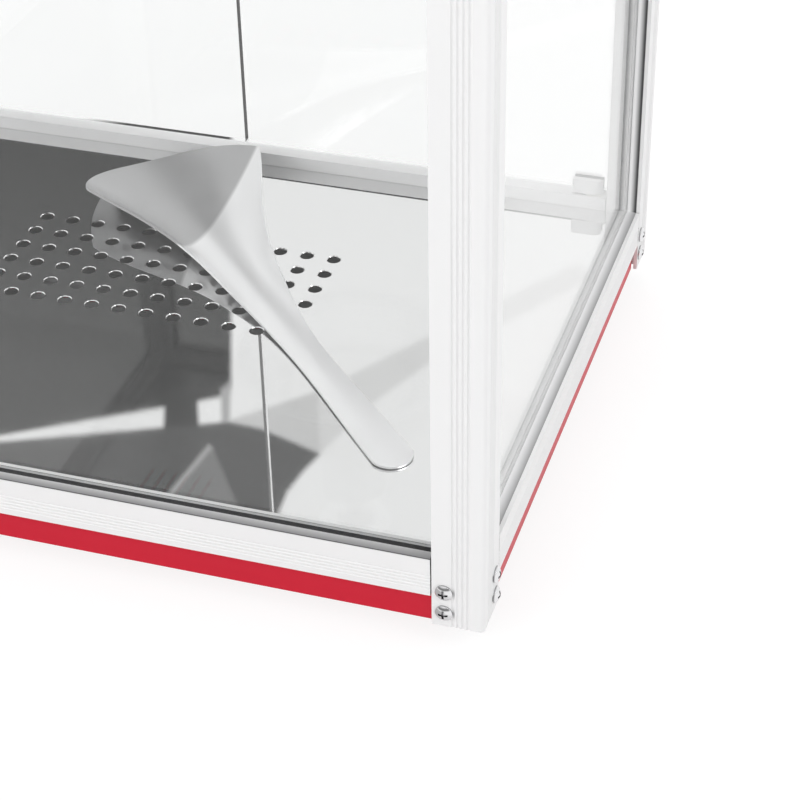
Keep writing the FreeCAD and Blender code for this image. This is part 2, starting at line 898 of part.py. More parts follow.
def door_clamps():
    """Pivot clamps at the door's lower and upper corner, each with its turned pin."""
    low = rail_top + clamp_gap
    heel = clamp_half_thickness
    outline = Outline(in_xy, (0, -heel))
    outline.arc((heel, 0), (0, heel))
    outline.line((-clamp_length + heel, heel), (-clamp_length + heel, -heel))
    block = outline.face().extrude(Vector(0, 0, clamp_height))
    reach = max(opening_half_width - door_edge_gap - door_axis_x, heel)
    slot = door_glass / 2 + clamp_slot_gap
    block = block.cut(box((-clamp_length, -slot, door_floor_gap),
                          (reach + overrun, slot, clamp_height + overrun)))
    block = block.fuse(rod(pin_radius, (0, 0, -pin_length - clamp_gap), (0, 0, door_floor_gap / 2)))
    block.translate(Vector(door_axis_x, door_axis_y, low))
    return [block, door_upside_down(block)]


def door_upside_down(shape):
    middle = (rail_top + upper_rail_bottom) / 2
    return shape.mirror(Vector(0, 0, middle), AXIS_Z)


def pivot_bushes():
    """Flanged plastic bushes in the rear rails that carry the door pins."""
    bore = pin_radius + bush_bore_clearance
    outline = Outline(in_xz, (bore, -bush_length))
    outline.line((bush_radius, -bush_length), (bush_radius, 0), (bush_flange_radius, 0),
                 (bush_flange_radius, bush_flange), (bore, bush_flange))
    bush = outline.face().revolve(ZERO, AXIS_Z, full_turn)
    bush.translate(Vector(door_axis_x, door_axis_y, rail_top))
    right = [bush, door_upside_down(bush)]
    return Part.makeCompound(right + [mirror_x(item) for item in right])


def strike_plate():
    """Steel strike on the inside of the right door, facing the magnet."""
    high = upper_rail_bottom - door_floor_gap - clamp_gap - sheet
    near = door_axis_y - door_glass / 2
    x = door_meeting_gap
    return box((x, near - strike_thickness, high - strike_width * strike_share),
               (x + strike_width, near, high))


def door_catch():
    """Magnetic catch under the upper rear rail, shared by the two doors."""
    rear = door_axis_y - door_glass / 2 - strike_thickness - catch_gap
    low = upper_rail_bottom - catch_height
    body = box((-catch_length / 2, rear - catch_depth, low), (catch_length / 2, rear, upper_rail_bottom))
    pocket = catch_length * magnet_share / 2
    for x in (-catch_length * magnet_place_share, catch_length * magnet_place_share):
        body = body.cut(box((x - pocket, rear - sheet, low + sheet * 2),
                            (x + pocket, rear + overrun, upper_rail_bottom - sheet * 2)))
    return body


def slot_cover():
    """Snap-in strip that closes the unused channel of the right rear post."""
    near = half_depth - wall - plate_gap
    far = near - channel_width + 2 * plate_gap
    inner = opening_half_width + seat_gap
    outer = inner + plate_thickness
    return box((inner, far, rail_top + seat_gap), (outer, near, upper_rail_bottom - seat_gap))


def top_panel(half_span, recess_face):
    """Plain coloured panel of the top housing, along X, recessed behind a face on y = 0."""
    return box((-half_span + seat_gap, recess_face, upper_rail_top + seat_gap),
               (half_span - seat_gap, recess_face + sheet, frame_top - seat_gap))


def side_top_panel():
    panel = top_panel(opening_half_depth, panel_recess)
    middle = (upper_rail_top + frame_top) / 2
    cutters = []
    slots = vent_count * 2
    through = panel_recess + sheet + overrun
    half = vent_width / 2
    end = vent_length / 2 - half
    for index in range(slots):
        x = (index - (slots - 1) / 2) * vent_pitch
        cutters.append(box((x - half, 0, middle - end), (x + half, through, middle + end)))
        for side in (-end, end):
            cutters.append(rod(half, (x, 0, middle + side), (x, through, middle + side)))
    return panel.cut(cutters)


def control_level():
    return (upper_rail_top + frame_top) / 2


def through_panel(solid, x, half_x, half_z):
    level = control_level()
    return solid.cut(box((x - half_x, rear_panel_back - overrun, level - half_z),
                         (x + half_x, rear_panel_face + overrun, level + half_z)))


def control_panel():
    panel = mirror_y(to_front(top_panel(opening_half_width, panel_recess)))
    level = control_level()
    back = rear_panel_back - overrun
    face = rear_panel_face + overrun
    shaft = thermostat_shaft_radius + hole_clearance
    panel = panel.cut(rod(shaft, (knob_x, back, level), (knob_x, face, level)))
    body_x = bezel_width / 2 - bezel_wall
    body_z = bezel_height / 2 - bezel_wall
    for x in switch_places():
        panel = through_panel(panel, x, body_x + hole_clearance, body_z + hole_clearance)
    lamp = indicator_body_radius + hole_clearance
    panel = panel.cut(rod(lamp, (lamp_x, back, level), (lamp_x, face, level)))
    mouth_x = inlet_mouth_width / 2 + inlet_wall + hole_clearance
    mouth_z = inlet_mouth_height / 2 + inlet_wall + hole_clearance
    panel = through_panel(panel, inlet_x, mouth_x, mouth_z)
    for x in (inlet_x - inlet_screw_pitch / 2, inlet_x + inlet_screw_pitch / 2):
        panel = panel.cut(rod(small_shank_radius + hole_clearance, (x, back, level), (x, face, level)))
    return panel


def switch_places():
    return [switch_x, switch_x + switch_pitch]


def dial_plate():
    """Thin round scale behind the thermostat knob."""
    level = control_level()
    near = rear_panel_face
    far = near + dial_thickness
    disc = rod(dial_radius, (knob_x, near, level), (knob_x, far, level))
    return disc.cut(rod(thermostat_shaft_radius + hole_clearance,
                        (knob_x, near - overrun, level), (knob_x, far + overrun, level)))


def thermostat_knob():
    """Skirted knob with a grip bar across its face."""
    level = control_level()
    start = seat_gap + dial_thickness
    top = start + thermostat_knob_height
    skirt = thermostat_knob_height * skirt_share
    radius = thermostat_knob_radius
    outline = Outline(in_xz, (0, start))
    outline.line((radius, start), (radius, start + skirt * edge_share))
    outline.arc((radius * knob_shoulder_share, start + skirt * round_share),
                (radius * knob_core_share, start + skirt))
    outline.line((0, start + skirt))
    knob = outline.face().revolve(ZERO, AXIS_Z, full_turn)
    bar_half = radius * grip_share
    bar_reach = radius * grip_reach_share
    bar = box((-bar_half, -bar_reach, start + skirt * edge_share), (bar_half, bar_reach, top))
    bar = bar.makeFillet(bar_half * grip_round_share, [
        edge for edge in bar.Edges if edge.BoundBox.ZMin > top - overrun * edge_share])
    knob = knob.fuse(bar).removeSplitter()
    bore = thermostat_shaft_radius + hole_clearance
    knob = knob.cut(rod(bore, (0, 0, start - overrun), (0, 0, start + skirt + bar_half)))
    knob.rotate(ZERO, AXIS_X, -quarter_turn)
    knob.translate(Vector(knob_x, rear_panel_face, level))
    return knob


def thermostat_shaft():
    level = control_level()
    bar_half = thermostat_knob_radius * grip_share
    skirt = thermostat_knob_height * skirt_share
    outer = rear_panel_face + seat_gap + dial_thickness + skirt + bar_half - hole_clearance
    return rod(thermostat_shaft_radius, (knob_x, outer - shaft_length, level), (knob_x, outer, level))


def thermostat_body():
    """Capillary thermostat behind the panel, with the bore its shaft turns in."""
    level = control_level()
    half = thermostat_body_size / 2
    back = rear_panel_back
    front = back - thermostat_body_depth
    body = box((knob_x - half, front, level - half), (knob_x + half, back, level + half))
    bore = thermostat_shaft_radius + hole_clearance
    return body.cut(rod(bore, (knob_x, front + sheet, level), (knob_x, back + overrun, level)))


def switch_body(x):
    """Frame of a rocker switch: bezel outside the panel, case behind it, rocker well between."""
    level = control_level()
    half_x = bezel_width / 2
    half_z = bezel_height / 2
    face = rear_panel_face
    bezel = box((x - half_x, face, level - half_z), (x + half_x, face + bezel_thickness, level + half_z))
    case_x = half_x - bezel_wall
    case_z = half_z - bezel_wall
    case = box((x - case_x, face - switch_body_depth, level - case_z), (x + case_x, face, level + case_z))
    body = bezel.fuse(case).removeSplitter()
    well_x = case_x - sheet
    well_z = case_z - sheet
    body = body.cut(box((x - well_x, face - switch_body_depth * well_share, level - well_z),
                        (x + well_x, face + bezel_thickness + overrun, level + well_z)))
    pin = rod(rocker_pin_radius, (x - well_x - sheet * edge_share, face, level),
              (x + well_x + sheet * edge_share, face, level))
    return body.fuse(pin).removeSplitter()


def rocker(x):
    """Rocker button on the switch's pin, pressed in at its lower half at rest."""
    level = control_level()
    face = rear_panel_face
    well_x = bezel_width / 2 - bezel_wall - sheet - rocker_gap
    half_z = bezel_height / 2 - bezel_wall - sheet - rocker_gap - rocker_gap
    root = -switch_body_depth * rocker_root_share
    peak = bezel_thickness + rocker_reach
    outline = Outline(in_yz, (root, -half_z * rocker_waist_share))
    outline.line((root, half_z * rocker_waist_share), (0, half_z), (peak, half_z * rocker_tip_share))
    outline.arc((bezel_thickness * rocker_hollow_share, 0), (bezel_thickness * rocker_low_share, -half_z))
    solid = outline.face().extrude(Vector(2 * well_x, 0, 0))
    bore = rocker_pin_radius + bush_bore_clearance
    solid = solid.cut(rod(bore, (-overrun, 0, 0), (2 * well_x + overrun, 0, 0)))
    solid.translate(Vector(x - well_x, face, level))
    return solid


def indicator():
    """Domed lens with a collar outside the panel and its lamp body behind."""
    level = control_level()
    outline = Outline(in_xz, (0, -indicator_body_depth))
    outline.line((indicator_body_radius, -indicator_body_depth), (indicator_body_radius, 0),
                 (indicator_radius, 0), (indicator_radius, sheet))
    outline.dome(indicator_dome - sheet)
    lens = outline.face().revolve(ZERO, AXIS_Z, full_turn)
    lens.rotate(ZERO, AXIS_X, -quarter_turn)
    lens.translate(Vector(lamp_x, rear_panel_face, level))
    return lens


def power_inlet():
    """Three-pin appliance inlet: flange outside the panel, open shroud through it."""
    level = control_level()
    face = rear_panel_face
    flange = box((inlet_x - inlet_width / 2, face, level - inlet_height / 2),
                 (inlet_x + inlet_width / 2, face + inlet_flange, level + inlet_height / 2))
    mouth_x = inlet_mouth_width / 2
    mouth_z = inlet_mouth_height / 2
    shroud = box((inlet_x - mouth_x - inlet_wall, face - inlet_depth, level - mouth_z - inlet_wall),
                 (inlet_x + mouth_x + inlet_wall, face, level + mouth_z + inlet_wall))
    body = flange.fuse(shroud).removeSplitter()
    body = body.cut(box((inlet_x - mouth_x, face - inlet_depth + inlet_wall, level - mouth_z),
                        (inlet_x + mouth_x, face + inlet_flange + overrun, level + mouth_z)))
    for x in (inlet_x - inlet_screw_pitch / 2, inlet_x + inlet_screw_pitch / 2):
        body = body.cut(rod(small_shank_radius + hole_clearance,
                            (x, face - overrun, level), (x, face + inlet_flange + overrun, level)))
    return body


def inlet_pins():
    level = control_level()
    back = rear_panel_face - inlet_depth + inlet_wall
    solids = []
    for column, rise in ((-1, -blade_rise), (0, blade_rise), (1, -blade_rise)):
        x = inlet_x + column * blade_pitch
        z = level + rise
        solids.append(box((x - blade_thickness / 2, back, z - blade_width / 2),
                          (x + blade_thickness / 2, back + blade_reach, z + blade_width / 2)))
    return Part.makeCompound(solids)


def inlet_screws():
    level = control_level()
    solids = []
    for x in (inlet_x - inlet_screw_pitch / 2, inlet_x + inlet_screw_pitch / 2):
        item = screw(small_head_radius, small_head_height, small_shank_radius, small_shank_length)
        item.rotate(ZERO, AXIS_X, -quarter_turn)
        item.translate(Vector(x, rear_panel_face + inlet_flange, level))
        solids.append(item)
    return Part.makeCompound(solids)


def terminal_block():
    """Strip of screw terminals on the ceiling plate, inside the top housing."""
    length = terminal_pitch * terminal_count
    low = ceiling_top
    high = low + terminal_height
    near = rear_panel_back - inlet_depth - terminal_depth * 2
    block = box((terminal_x, near, low), (terminal_x + length, near + terminal_depth, high))
    for index in range(terminal_count):
        x = terminal_x + terminal_pitch * (index + 0.5)
        for y in (near + terminal_depth / 4, near + terminal_depth * 3 / 4):
            well = high - terminal_height / 4
            block = block.cut(rod(terminal_screw_radius, (x, y, well), (x, y, high + overrun)))
    return block


def lamp_canopy():
    """Cup under the ceiling that hides the lamp stem's nut."""
    top = ceiling_bottom
    bore = stem_radius + hole_clearance
    outline = Outline(in_xz, (bore, top))
    outline.line((canopy_radius, top), (canopy_radius, top - sheet))
    outline.arc((canopy_radius * canopy_share, top - canopy_height * canopy_drop_share),
                (bore, top - canopy_height))
    return outline.face().revolve(ZERO, AXIS_Z, full_turn)


def lamp_stem():
    """Threaded tube through the ceiling, with a hexagon nut above and one below the plate."""
    top = ceiling_top + canopy_height
    stem = rod(stem_radius, (0, 0, top - stem_length), (0, 0, top))
    nut_radius = stem_radius * nut_share
    points = []
    for index in range(6):
        angle = math.radians(60 * index)
        points.append((nut_radius * math.cos(angle), nut_radius * math.sin(angle)))
    nut = polygon(in_xy, points).extrude(Vector(0, 0, stem_radius))
    nut.translate(Vector(0, 0, ceiling_top))
    return stem.fuse(nut).removeSplitter()


def socket_top():
    return ceiling_top + canopy_height - stem_length


def lamp_socket():
    """Porcelain lampholder: glazed barrel with a collar and a screw shell bore."""
    top = socket_top()
    low = top - socket_height
    neck = socket_radius * socket_neck_share
    outline = Outline(in_xz, (0, top))
    outline.line((neck * edge_share, top))
    outline.arc((neck * socket_round_share, top - socket_height * socket_bend_share),
                (neck, top - socket_height * socket_drop_share))
    collar = top - socket_height * collar_share
    outline.line((neck, collar), (socket_radius, collar), (socket_radius, low), (socket_bore, low))
    outline.line((socket_bore, low + socket_bore_depth), (0, low + socket_bore_depth))
    return outline.face().revolve(ZERO, AXIS_Z, full_turn)


def lamp_bulb():
    """Reflector heat bulb: screw cap inside the holder, flared body, domed face."""
    low_holder = socket_top() - socket_height
    cap_top = low_holder + socket_bore_depth - sheet
    face = low_holder - bulb_length
    widest = face + bulb_length * bulb_face_share
    outline = Outline(in_xz, (0, cap_top))
    neck_low = low_holder - bulb_length * bulb_neck_share
    flare = low_holder - bulb_length * bulb_middle_share
    outline.line((cap_radius * cap_tip_share, cap_top), (cap_radius, cap_top - sheet * 2))
    outline.line((cap_radius, low_holder), (bulb_neck_radius, low_holder - sheet))
    outline.line((bulb_neck_radius, neck_low))
    outline.arc((bulb_radius * bulb_flare_share, flare), (bulb_radius, widest))
    outline.line((bulb_radius * bulb_edge_share, face + bulb_length * bulb_rim_share))
    outline.dome(-bulb_length * bulb_rim_share)
    return outline.face().revolve(ZERO, AXIS_Z, full_turn)


def lamp_shade():
    """Spun bell round the holder and bulb, with a rolled bead at its rim."""
    top = socket_top() - socket_height * shade_top_share
    rim = top - shade_height
    neck = shade_neck_radius
    shoulder = top - shade_height * shoulder_drop_share
    middle = (shade_rim_radius * belly_share, top - shade_height * belly_drop_share)
    hole = socket_radius * socket_neck_share + seat_gap
    t = shade_wall
    outline = Outline(in_xz, (hole, top))
    outline.line((neck + t, top), (neck + t, shoulder))
    outline.arc((middle[0] + t, middle[1] + t), (shade_rim_radius + t, rim))
    outline.line((shade_rim_radius, rim))
    outline.arc((middle[0], middle[1]), (neck, shoulder))
    outline.line((neck, top - t), (hole, top - t))
    shell = outline.face().revolve(ZERO, AXIS_Z, full_turn)
    bead = Part.makeTorus(shade_rim_radius + t / 2, shade_bead, Vector(0, 0, rim), AXIS_Z)
    return shell.fuse(bead).removeSplitter()


def lid():
    """Folded roof: a plate with a down-turned lip outside the posts, with vent slots."""
    outer_x = half_width + lid_gap + sheet
    outer_y = half_depth + lid_gap + sheet
    top = frame_top + sheet
    low = frame_top - lid_lip
    shell = slab(outer_x, outer_y, low, top, lid_corner)
    inner = slab(outer_x - sheet, outer_y - sheet, low - overrun, frame_top, lid_corner - sheet)
    shell = shell.cut(inner)
    cutters = []
    for x in (half_width * lid_vent_share, -half_width * lid_vent_share):
        cutters += vent_slots(x, half_depth / 2, low, top + overrun)
    for x, y in lid_screw_places():
        cutters.append(rod(shank_radius + hole_clearance, (x, y, low), (x, y, top + overrun)))
    return shell.cut(cutters)


def lid_screw_places():
    x = half_width - screw_channel_inset
    y = half_depth - screw_channel_inset
    return [(x, y), (x, -y), (-x, y), (-x, -y)]


def scoop():
    """Pressed sheet scoop: flat round-ended handle that flares into a shallow trough with a round nose."""
    wires = []
    for station, wide, deep in zip(scoop_station_shares, scoop_width_shares, scoop_depth_shares):
        x = station * scoop_length
        half = wide * scoop_mouth_half_width
        rise = deep * scoop_mouth_depth
        radius = (half * half + rise * rise) / (2 * rise)
        inner = (radius - scoop_sheet) / radius
        inside_half = half * inner
        inside_rise = radius + (rise - radius) * inner
        outer_arc = Part.Arc(Vector(x, -half, rise), Vector(x, 0, 0), Vector(x, half, rise)).toShape()
        inner_arc = Part.Arc(Vector(x, inside_half, inside_rise), Vector(x, 0, scoop_sheet),
                             Vector(x, -inside_half, inside_rise)).toShape()
        right_end = Part.makeLine(Vector(x, half, rise), Vector(x, inside_half, inside_rise))
        left_end = Part.makeLine(Vector(x, -inside_half, inside_rise), Vector(x, -half, rise))
        wires.append(Part.Wire([outer_arc, right_end, inner_arc, left_end]))
    body = Part.makeLoft(wires, True, False)
    tip = scoop_width_shares[0] * scoop_mouth_half_width
    plan = Outline(in_xy, (tip, tip))
    plan.arc((0, 0), (tip, -tip))
    side = scoop_mouth_half_width
    blend = scoop_length * scoop_station_shares[2]
    shoulder = scoop_length - scoop_nose
    plan.line((blend, -side), (shoulder, -side))
    plan.arc((scoop_length, 0), (shoulder, side))
    plan.line((blend, side))
    mask = plan.face().extrude(Vector(0, 0, scoop_mouth_depth + overrun))
    mask.translate(Vector(0, 0, -overrun))
    body = body.common(mask)
    body.rotate(ZERO, AXIS_Z, scoop_turn)
    body.translate(Vector(scoop_tip_x, scoop_tip_y, deck_top + seat_gap))
    return body


def build():
    os.makedirs("parts", exist_ok=True)
    post = corner_post()
    save("post_front_right", post)
    save("post_front_left", mirror_x(post))
    save("post_rear_right", mirror_y(post))
    save("post_rear_left", mirror_y(mirror_x(post)))
    save("frame_screws", frame_screws())
    save("joint_plates", joint_plates())

    front = front_rail()
    right = right_rail()
    rear = door_rail()
    save("rail_front_lower", front)
    save("rail_front_upper", upside_down(front))
    save("rail_right_lower", right)
    save("rail_right_upper", upside_down(right))
    save("rail_left_lower", mirror_x(right))
    save("rail_left_upper", upside_down(mirror_x(right)))
    save("rail_rear_lower", rear)
    save("rail_rear_upper", upside_down(rear))

    save("glass_front", to_front(glass_pane(opening_half_width, front_glass_setback)))
    save("gasket_front", to_front(gasket(opening_half_width, front_glass_setback, True)))
    side_glass = to_right(glass_pane(opening_half_depth, side_glass_setback))
    side_gasket = to_right(gasket(opening_half_depth, side_glass_setback, False))
    save("glass_right", side_glass)
    save("glass_left", mirror_x(side_glass))
    save("gaskets_side", Part.makeCompound([side_gasket, mirror_x(side_gasket)]))

    save("base_tray", base_tray())
    save("feet", feet())
    save("deck_plate", deck_plate())
    save("ceiling_plate", ceiling_plate())
    save("crumb_drawer", crumb_drawer())
    save("drawer_front", drawer_front())
    save("drawer_pull", drawer_pull())
    save("drawer_runners", drawer_runners())
    save("floor_heater", floor_heater())
    save("heater_saddles", heater_saddles())

    for side, turn in (("right", Part.Shape.copy), ("left", mirror_x)):
        save("door_glass_" + side, turn(door_panel()))
        save("door_knob_" + side, turn(door_knob()))
        save("door_fittings_" + side, turn(Part.makeCompound(door_clamps() + [strike_plate()])))
    save("pivot_bushes", pivot_bushes())
    save("door_catch", door_catch())
    cover = slot_cover()
    save("slot_covers", Part.makeCompound([cover, mirror_x(cover)]))

    save("top_panel_front", to_front(top_panel(opening_half_width, panel_recess)))
    side_panel = to_right(side_top_panel())
    save("top_panel_right", side_panel)
    save("top_panel_left", mirror_x(side_panel))
    save("control_panel", control_panel())
    save("dial_plate", dial_plate())
    save("thermostat_knob", thermostat_knob())
    save("thermostat_shaft", thermostat_shaft())
    save("thermostat_body", thermostat_body())
    save("switch_frames", Part.makeCompound([switch_body(x) for x in switch_places()]))
    for name, x in zip(("power", "lamp"), switch_places()):
        save("switch_rocker_" + name, rocker(x))
    save("indicator_lens", indicator())
    save("power_inlet", power_inlet())
    save("inlet_pins", inlet_pins())
    save("panel_screws", inlet_screws())
    save("terminal_block", terminal_block())

    save("lamp_hanger", Part.makeCompound([lamp_canopy(), lamp_stem()]))
    save("lamp_socket", lamp_socket())
    save("lamp_bulb", lamp_bulb())
    save("lamp_shade", lamp_shade())
    save("lid", lid())
    save("scoop", scoop())


build()
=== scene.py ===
import json
import math

import bpy
from mathutils import Matrix, Vector
from mathutils.bvhtree import BVHTree


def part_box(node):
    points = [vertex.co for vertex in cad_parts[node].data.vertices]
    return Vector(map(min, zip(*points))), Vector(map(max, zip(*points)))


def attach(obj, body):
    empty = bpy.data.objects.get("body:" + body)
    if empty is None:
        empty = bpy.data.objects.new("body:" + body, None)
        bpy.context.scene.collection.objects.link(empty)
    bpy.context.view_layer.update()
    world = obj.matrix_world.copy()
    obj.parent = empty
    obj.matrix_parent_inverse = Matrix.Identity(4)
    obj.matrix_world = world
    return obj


# A glass chip warmer on white extruded posts. Lengths are in metres, angles in radians.

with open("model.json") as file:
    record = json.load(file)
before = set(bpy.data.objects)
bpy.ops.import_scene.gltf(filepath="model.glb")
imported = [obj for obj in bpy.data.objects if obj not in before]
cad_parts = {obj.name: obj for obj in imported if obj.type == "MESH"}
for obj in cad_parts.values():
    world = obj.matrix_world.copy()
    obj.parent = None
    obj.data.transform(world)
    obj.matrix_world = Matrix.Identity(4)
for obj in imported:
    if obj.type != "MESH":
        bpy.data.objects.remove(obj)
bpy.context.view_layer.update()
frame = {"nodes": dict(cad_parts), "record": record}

# Camera, measured from the bottom outer corner of the front right post
CAMERA_FROM_CORNER = Vector((0.1883, -0.6955, 0.6402))
CAMERA_TURN = 0.315
CAMERA_DIP = 0.615
CAMERA_ROLL = 0.019
CAMERA_LENS = 94.04
CAMERA_SENSOR = 36.0

# Studio. The eye sees the floor paler than it lights the cabinet. A mirroring surface sees it
# greyer, which fades out along X between the two places of FLOOR_GLOSS_END.
FLOOR_HALF = 6.0
FLOOR_CORNERS = ((-1, -1), (1, -1), (1, 1), (-1, 1))
ROOM_LIGHT = 0.62
FLOOR_COLOUR = (0.80, 0.80, 0.80)
FLOOR_SEEN_COLOUR = (0.20, 0.20, 0.20)
FLOOR_SEEN_GLOW = 0.84
FLOOR_GLOSS_GLOW = 0.34
FLOOR_GLOSS_END = (0.20, 0.26)
WHITE = (1.0, 1.0, 1.0)

# Softboxes: name, place, size, watts, and whether gloss and glass show them
SOFTBOX_AIM = (0, 0, 0.25)
SOFTBOXES = (
    ("softbox_left", (-1.7, -2.5, 1.7), (1.8, 1.8), 48, False),
    ("softbox_right", (2.4, -0.6, 1.9), (1.6, 1.6), 26, True),
    ("softbox_rear", (-0.6, 2.4, 2.2), (1.8, 1.2), 24, False),
)

# What only gloss and glass see of the studio behind the cabinet. Each thing is a name, a grey and
# the corners of a convex outline, anticlockwise, in the plane of (x / y, z / y) of a direction.
# Later ones cover earlier ones.
STUDIO_SHAPES = (
    ("case", 0.02, (
        (-1, 0.65), (-0.425, 0.564), (-0.438, 0.753), (-0.441, 0.76), (-0.446, 0.764),
        (-0.463, 0.771), (-1, 0.98))),
    ("stem", 0.03, ((-0.484, 0.765), (-0.462, 0.76), (-0.463, 0.799), (-0.49, 0.814))),
    ("stem_edge", 0.45, ((-0.4455, 0.758), (-0.438, 0.75), (-0.441, 0.783), (-0.4465, 0.786))),
    ("arm", 0.68, ((-0.444, 0.783), (-0.37, 0.741), (-0.35, 0.8), (-0.42, 0.81))),
    ("arm_end", 0.8, (
        (-0.38, 0.747), (-0.221, 0.628), (-0.216, 0.627), (-0.213, 0.63), (-0.212, 0.634),
        (-0.216, 0.64), (-0.34, 0.78), (-0.38, 0.8))),
    ("base", 0.07, (
        (-1, 0.95), (-0.442, 0.783), (-0.419, 0.784), (-0.37, 0.799), (-0.4, 0.9), (-1, 1.04))),
    ("plinth", 0.2, ((-0.454, 0.807), (-0.44, 0.85), (-0.487, 0.852))),
    ("plinth_edge", 0.5, (
        (-0.4895, 0.8515), (-0.457, 0.8045), (-0.4545, 0.8065), (-0.487, 0.853))),
    ("round_table", 1, (
        (-0.413, 1.2), (-0.413, 0.855), (-0.404, 0.831), (-0.392, 0.812), (-0.38, 0.796),
        (-0.361, 0.771), (-0.342, 0.747), (-0.306, 0.711), (-0.216, 0.64), (-0.13, 0.575),
        (0.1, 0.6), (0.1, 1.2))),
)
STUDIO_EDGE_SOFT = 0.002

# The studio's dark end before the cabinet: where it starts and ends in z / -y of a direction
DARK_END_LOW = 0.2
DARK_END_HIGH = 0.65
DARK_END_SOFT = 0.12
DARK_END_GREY = 0.22

# Colours of the finishes: linear red, green and blue. A drift is where a colour wanders to. A seam
# shade is shade painted into seams and corners.
WHITE_COAT = (0.885, 0.885, 0.888)
WHITE_CASTING = (0.87, 0.87, 0.873)
WHITE_DRIFT_SHARE = 0.985
WHITE_SEAM_SHADE = (0.05, 0.05, 0.052)
RED_COAT = (0.63, 0.011, 0.034)
RED_DRIFT = (0.61, 0.010, 0.032)
RED_SEAM_SHADE = (0.10, 0.002, 0.004)
CLEAR_GLASS = (0.992, 0.997, 0.995)
# Glazing rubber tones: painted light beside the glass, painted shade towards the frame's face and
# on upright faces
FRONT_RUBBER_PAINTED_LIGHT = (0.62, 0.62, 0.625)
FRONT_RUBBER_PAINTED_SHADE = (0.27, 0.27, 0.275)
SIDE_RUBBER_PAINTED_LIGHT = (0.9, 0.9, 0.905)
SIDE_RUBBER_PAINTED_SHADE = (0.13, 0.13, 0.135)
RUBBER_UPRIGHT_SHADE = (0.06, 0.06, 0.062)
MIRROR_STEEL = (0.82, 0.82, 0.82)
SATIN_STEEL = (0.62, 0.62, 0.63)
SATIN_DRIFT = (0.54, 0.54, 0.55)
HEATER_STRAW = (0.36, 0.31, 0.25)
HEATER_BLUE = (0.20, 0.20, 0.24)
CHROME = (0.80, 0.80, 0.81)
CHROME_SEAM_SHADE = (0.10, 0.10, 0.11)
BLACK_RUBBER = (0.035, 0.035, 0.036)
BLACK_RUBBER_DRIFT = (0.055, 0.055, 0.055)
BLACK_PLASTIC = (0.028, 0.028, 0.029)
BLACK_PLASTIC_DRIFT = (0.04, 0.04, 0.041)
NYLON = (0.82, 0.81, 0.78)
NYLON_DRIFT = (0.78, 0.77, 0.73)
DIAL_METAL = (0.74, 0.74, 0.75)
SHAFT_STEEL = (0.56, 0.56, 0.58)
BRASS = (0.72, 0.53, 0.24)
BRASS_DRIFT = (0.62, 0.44, 0.20)
AMBER = (0.78, 0.24, 0.02)
AMBER_DRIFT = (0.70, 0.18, 0.01)
PORCELAIN = (0.84, 0.82, 0.77)
PORCELAIN_DRIFT = (0.79, 0.77, 0.71)
BULB_FROST = (0.86, 0.85, 0.82)
BULB_SILVER = (0.72, 0.72, 0.73)
BULB_CAP = (0.60, 0.48, 0.26)
SPUN_METAL = (0.78, 0.78, 0.79)
SPUN_DRIFT = (0.72, 0.72, 0.735)
SCOOP_BRIGHT = (0.93, 0.93, 0.935)
SCOOP_PAINTED_REFLECTION = (0.46, 0.46, 0.465)
BLACK_INK = (0.02, 0.02, 0.02)
WHITE_INK = (0.82, 0.82, 0.82)

# Between these two values lies most of a noise
NOISE_LOW = 0.35
NOISE_HIGH = 0.65

# Where the reflector bulb's frost turns to silver and where its cap starts, as shares of its height
SILVER_START_SHARE = 0.24
SILVER_END_SHARE = 0.27
CAP_START_SHARE = 0.74
CAP_FADE_SHARE = 0.005

# Where a painted dark reflection starts on the scoop's bright finish, and the way to its mouth
SCOOP_REFLECTION_START = (0.0084, 0.0315, 0.058)
SCOOP_REFLECTION_WAY = (-0.0880, 0.0050, 0)
SCOOP_REFLECTION_FADE = 0.003

# How far the painted shade in a side pane's gap reaches inwards from the frame's face, and the
# slopes between which a rubber's face counts as upright and gets painted shade
SIDE_GAP = 0.0058
UPRIGHT_SLOPES = (0.45, 0.75)

# The sockets of a colour's Mix node
MIX_SHARE, MIX_FIRST, MIX_SECOND, MIX_RESULT = 0, 6, 7, 2

# Scale of the thermostat, seen from behind the cabinet, clockwise from the top
DIAL_MARKS = (("0", 0), ("30", 40), ("40", 78), ("50", 116), ("60", 154), ("70", 193),
              ("80", 232), ("90", 270))
DIAL_FINE_STEPS = 24
DIAL_SWEEP = 230
DIAL_START = 40
DIAL_NUMBER_RADIUS = 0.0258
DIAL_NUMBER_HEIGHT = 0.0046
DIAL_TICK_INNER = 0.0205
DIAL_TICK_OUTER = 0.0228
DIAL_FINE_OUTER = 0.0218
DIAL_TICK_WIDTH = 0.0005
PRINT_THICKNESS = 0.00006
RAY_START = 0.1
POINTER_INNER = 0.0075
POINTER_OUTER = 0.0135
POINTER_WIDTH = 0.0014
ROCKER_MARK_HEIGHT = 0.0040
ROCKER_MARK_WIDTH = 0.0008
ROCKER_MARK_OFFSET = 0.0058
ROCKER_RING_SIDES = 32


def post_corner():
    low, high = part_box("post_front_right")
    return Vector((high.x, low.y, low.z))


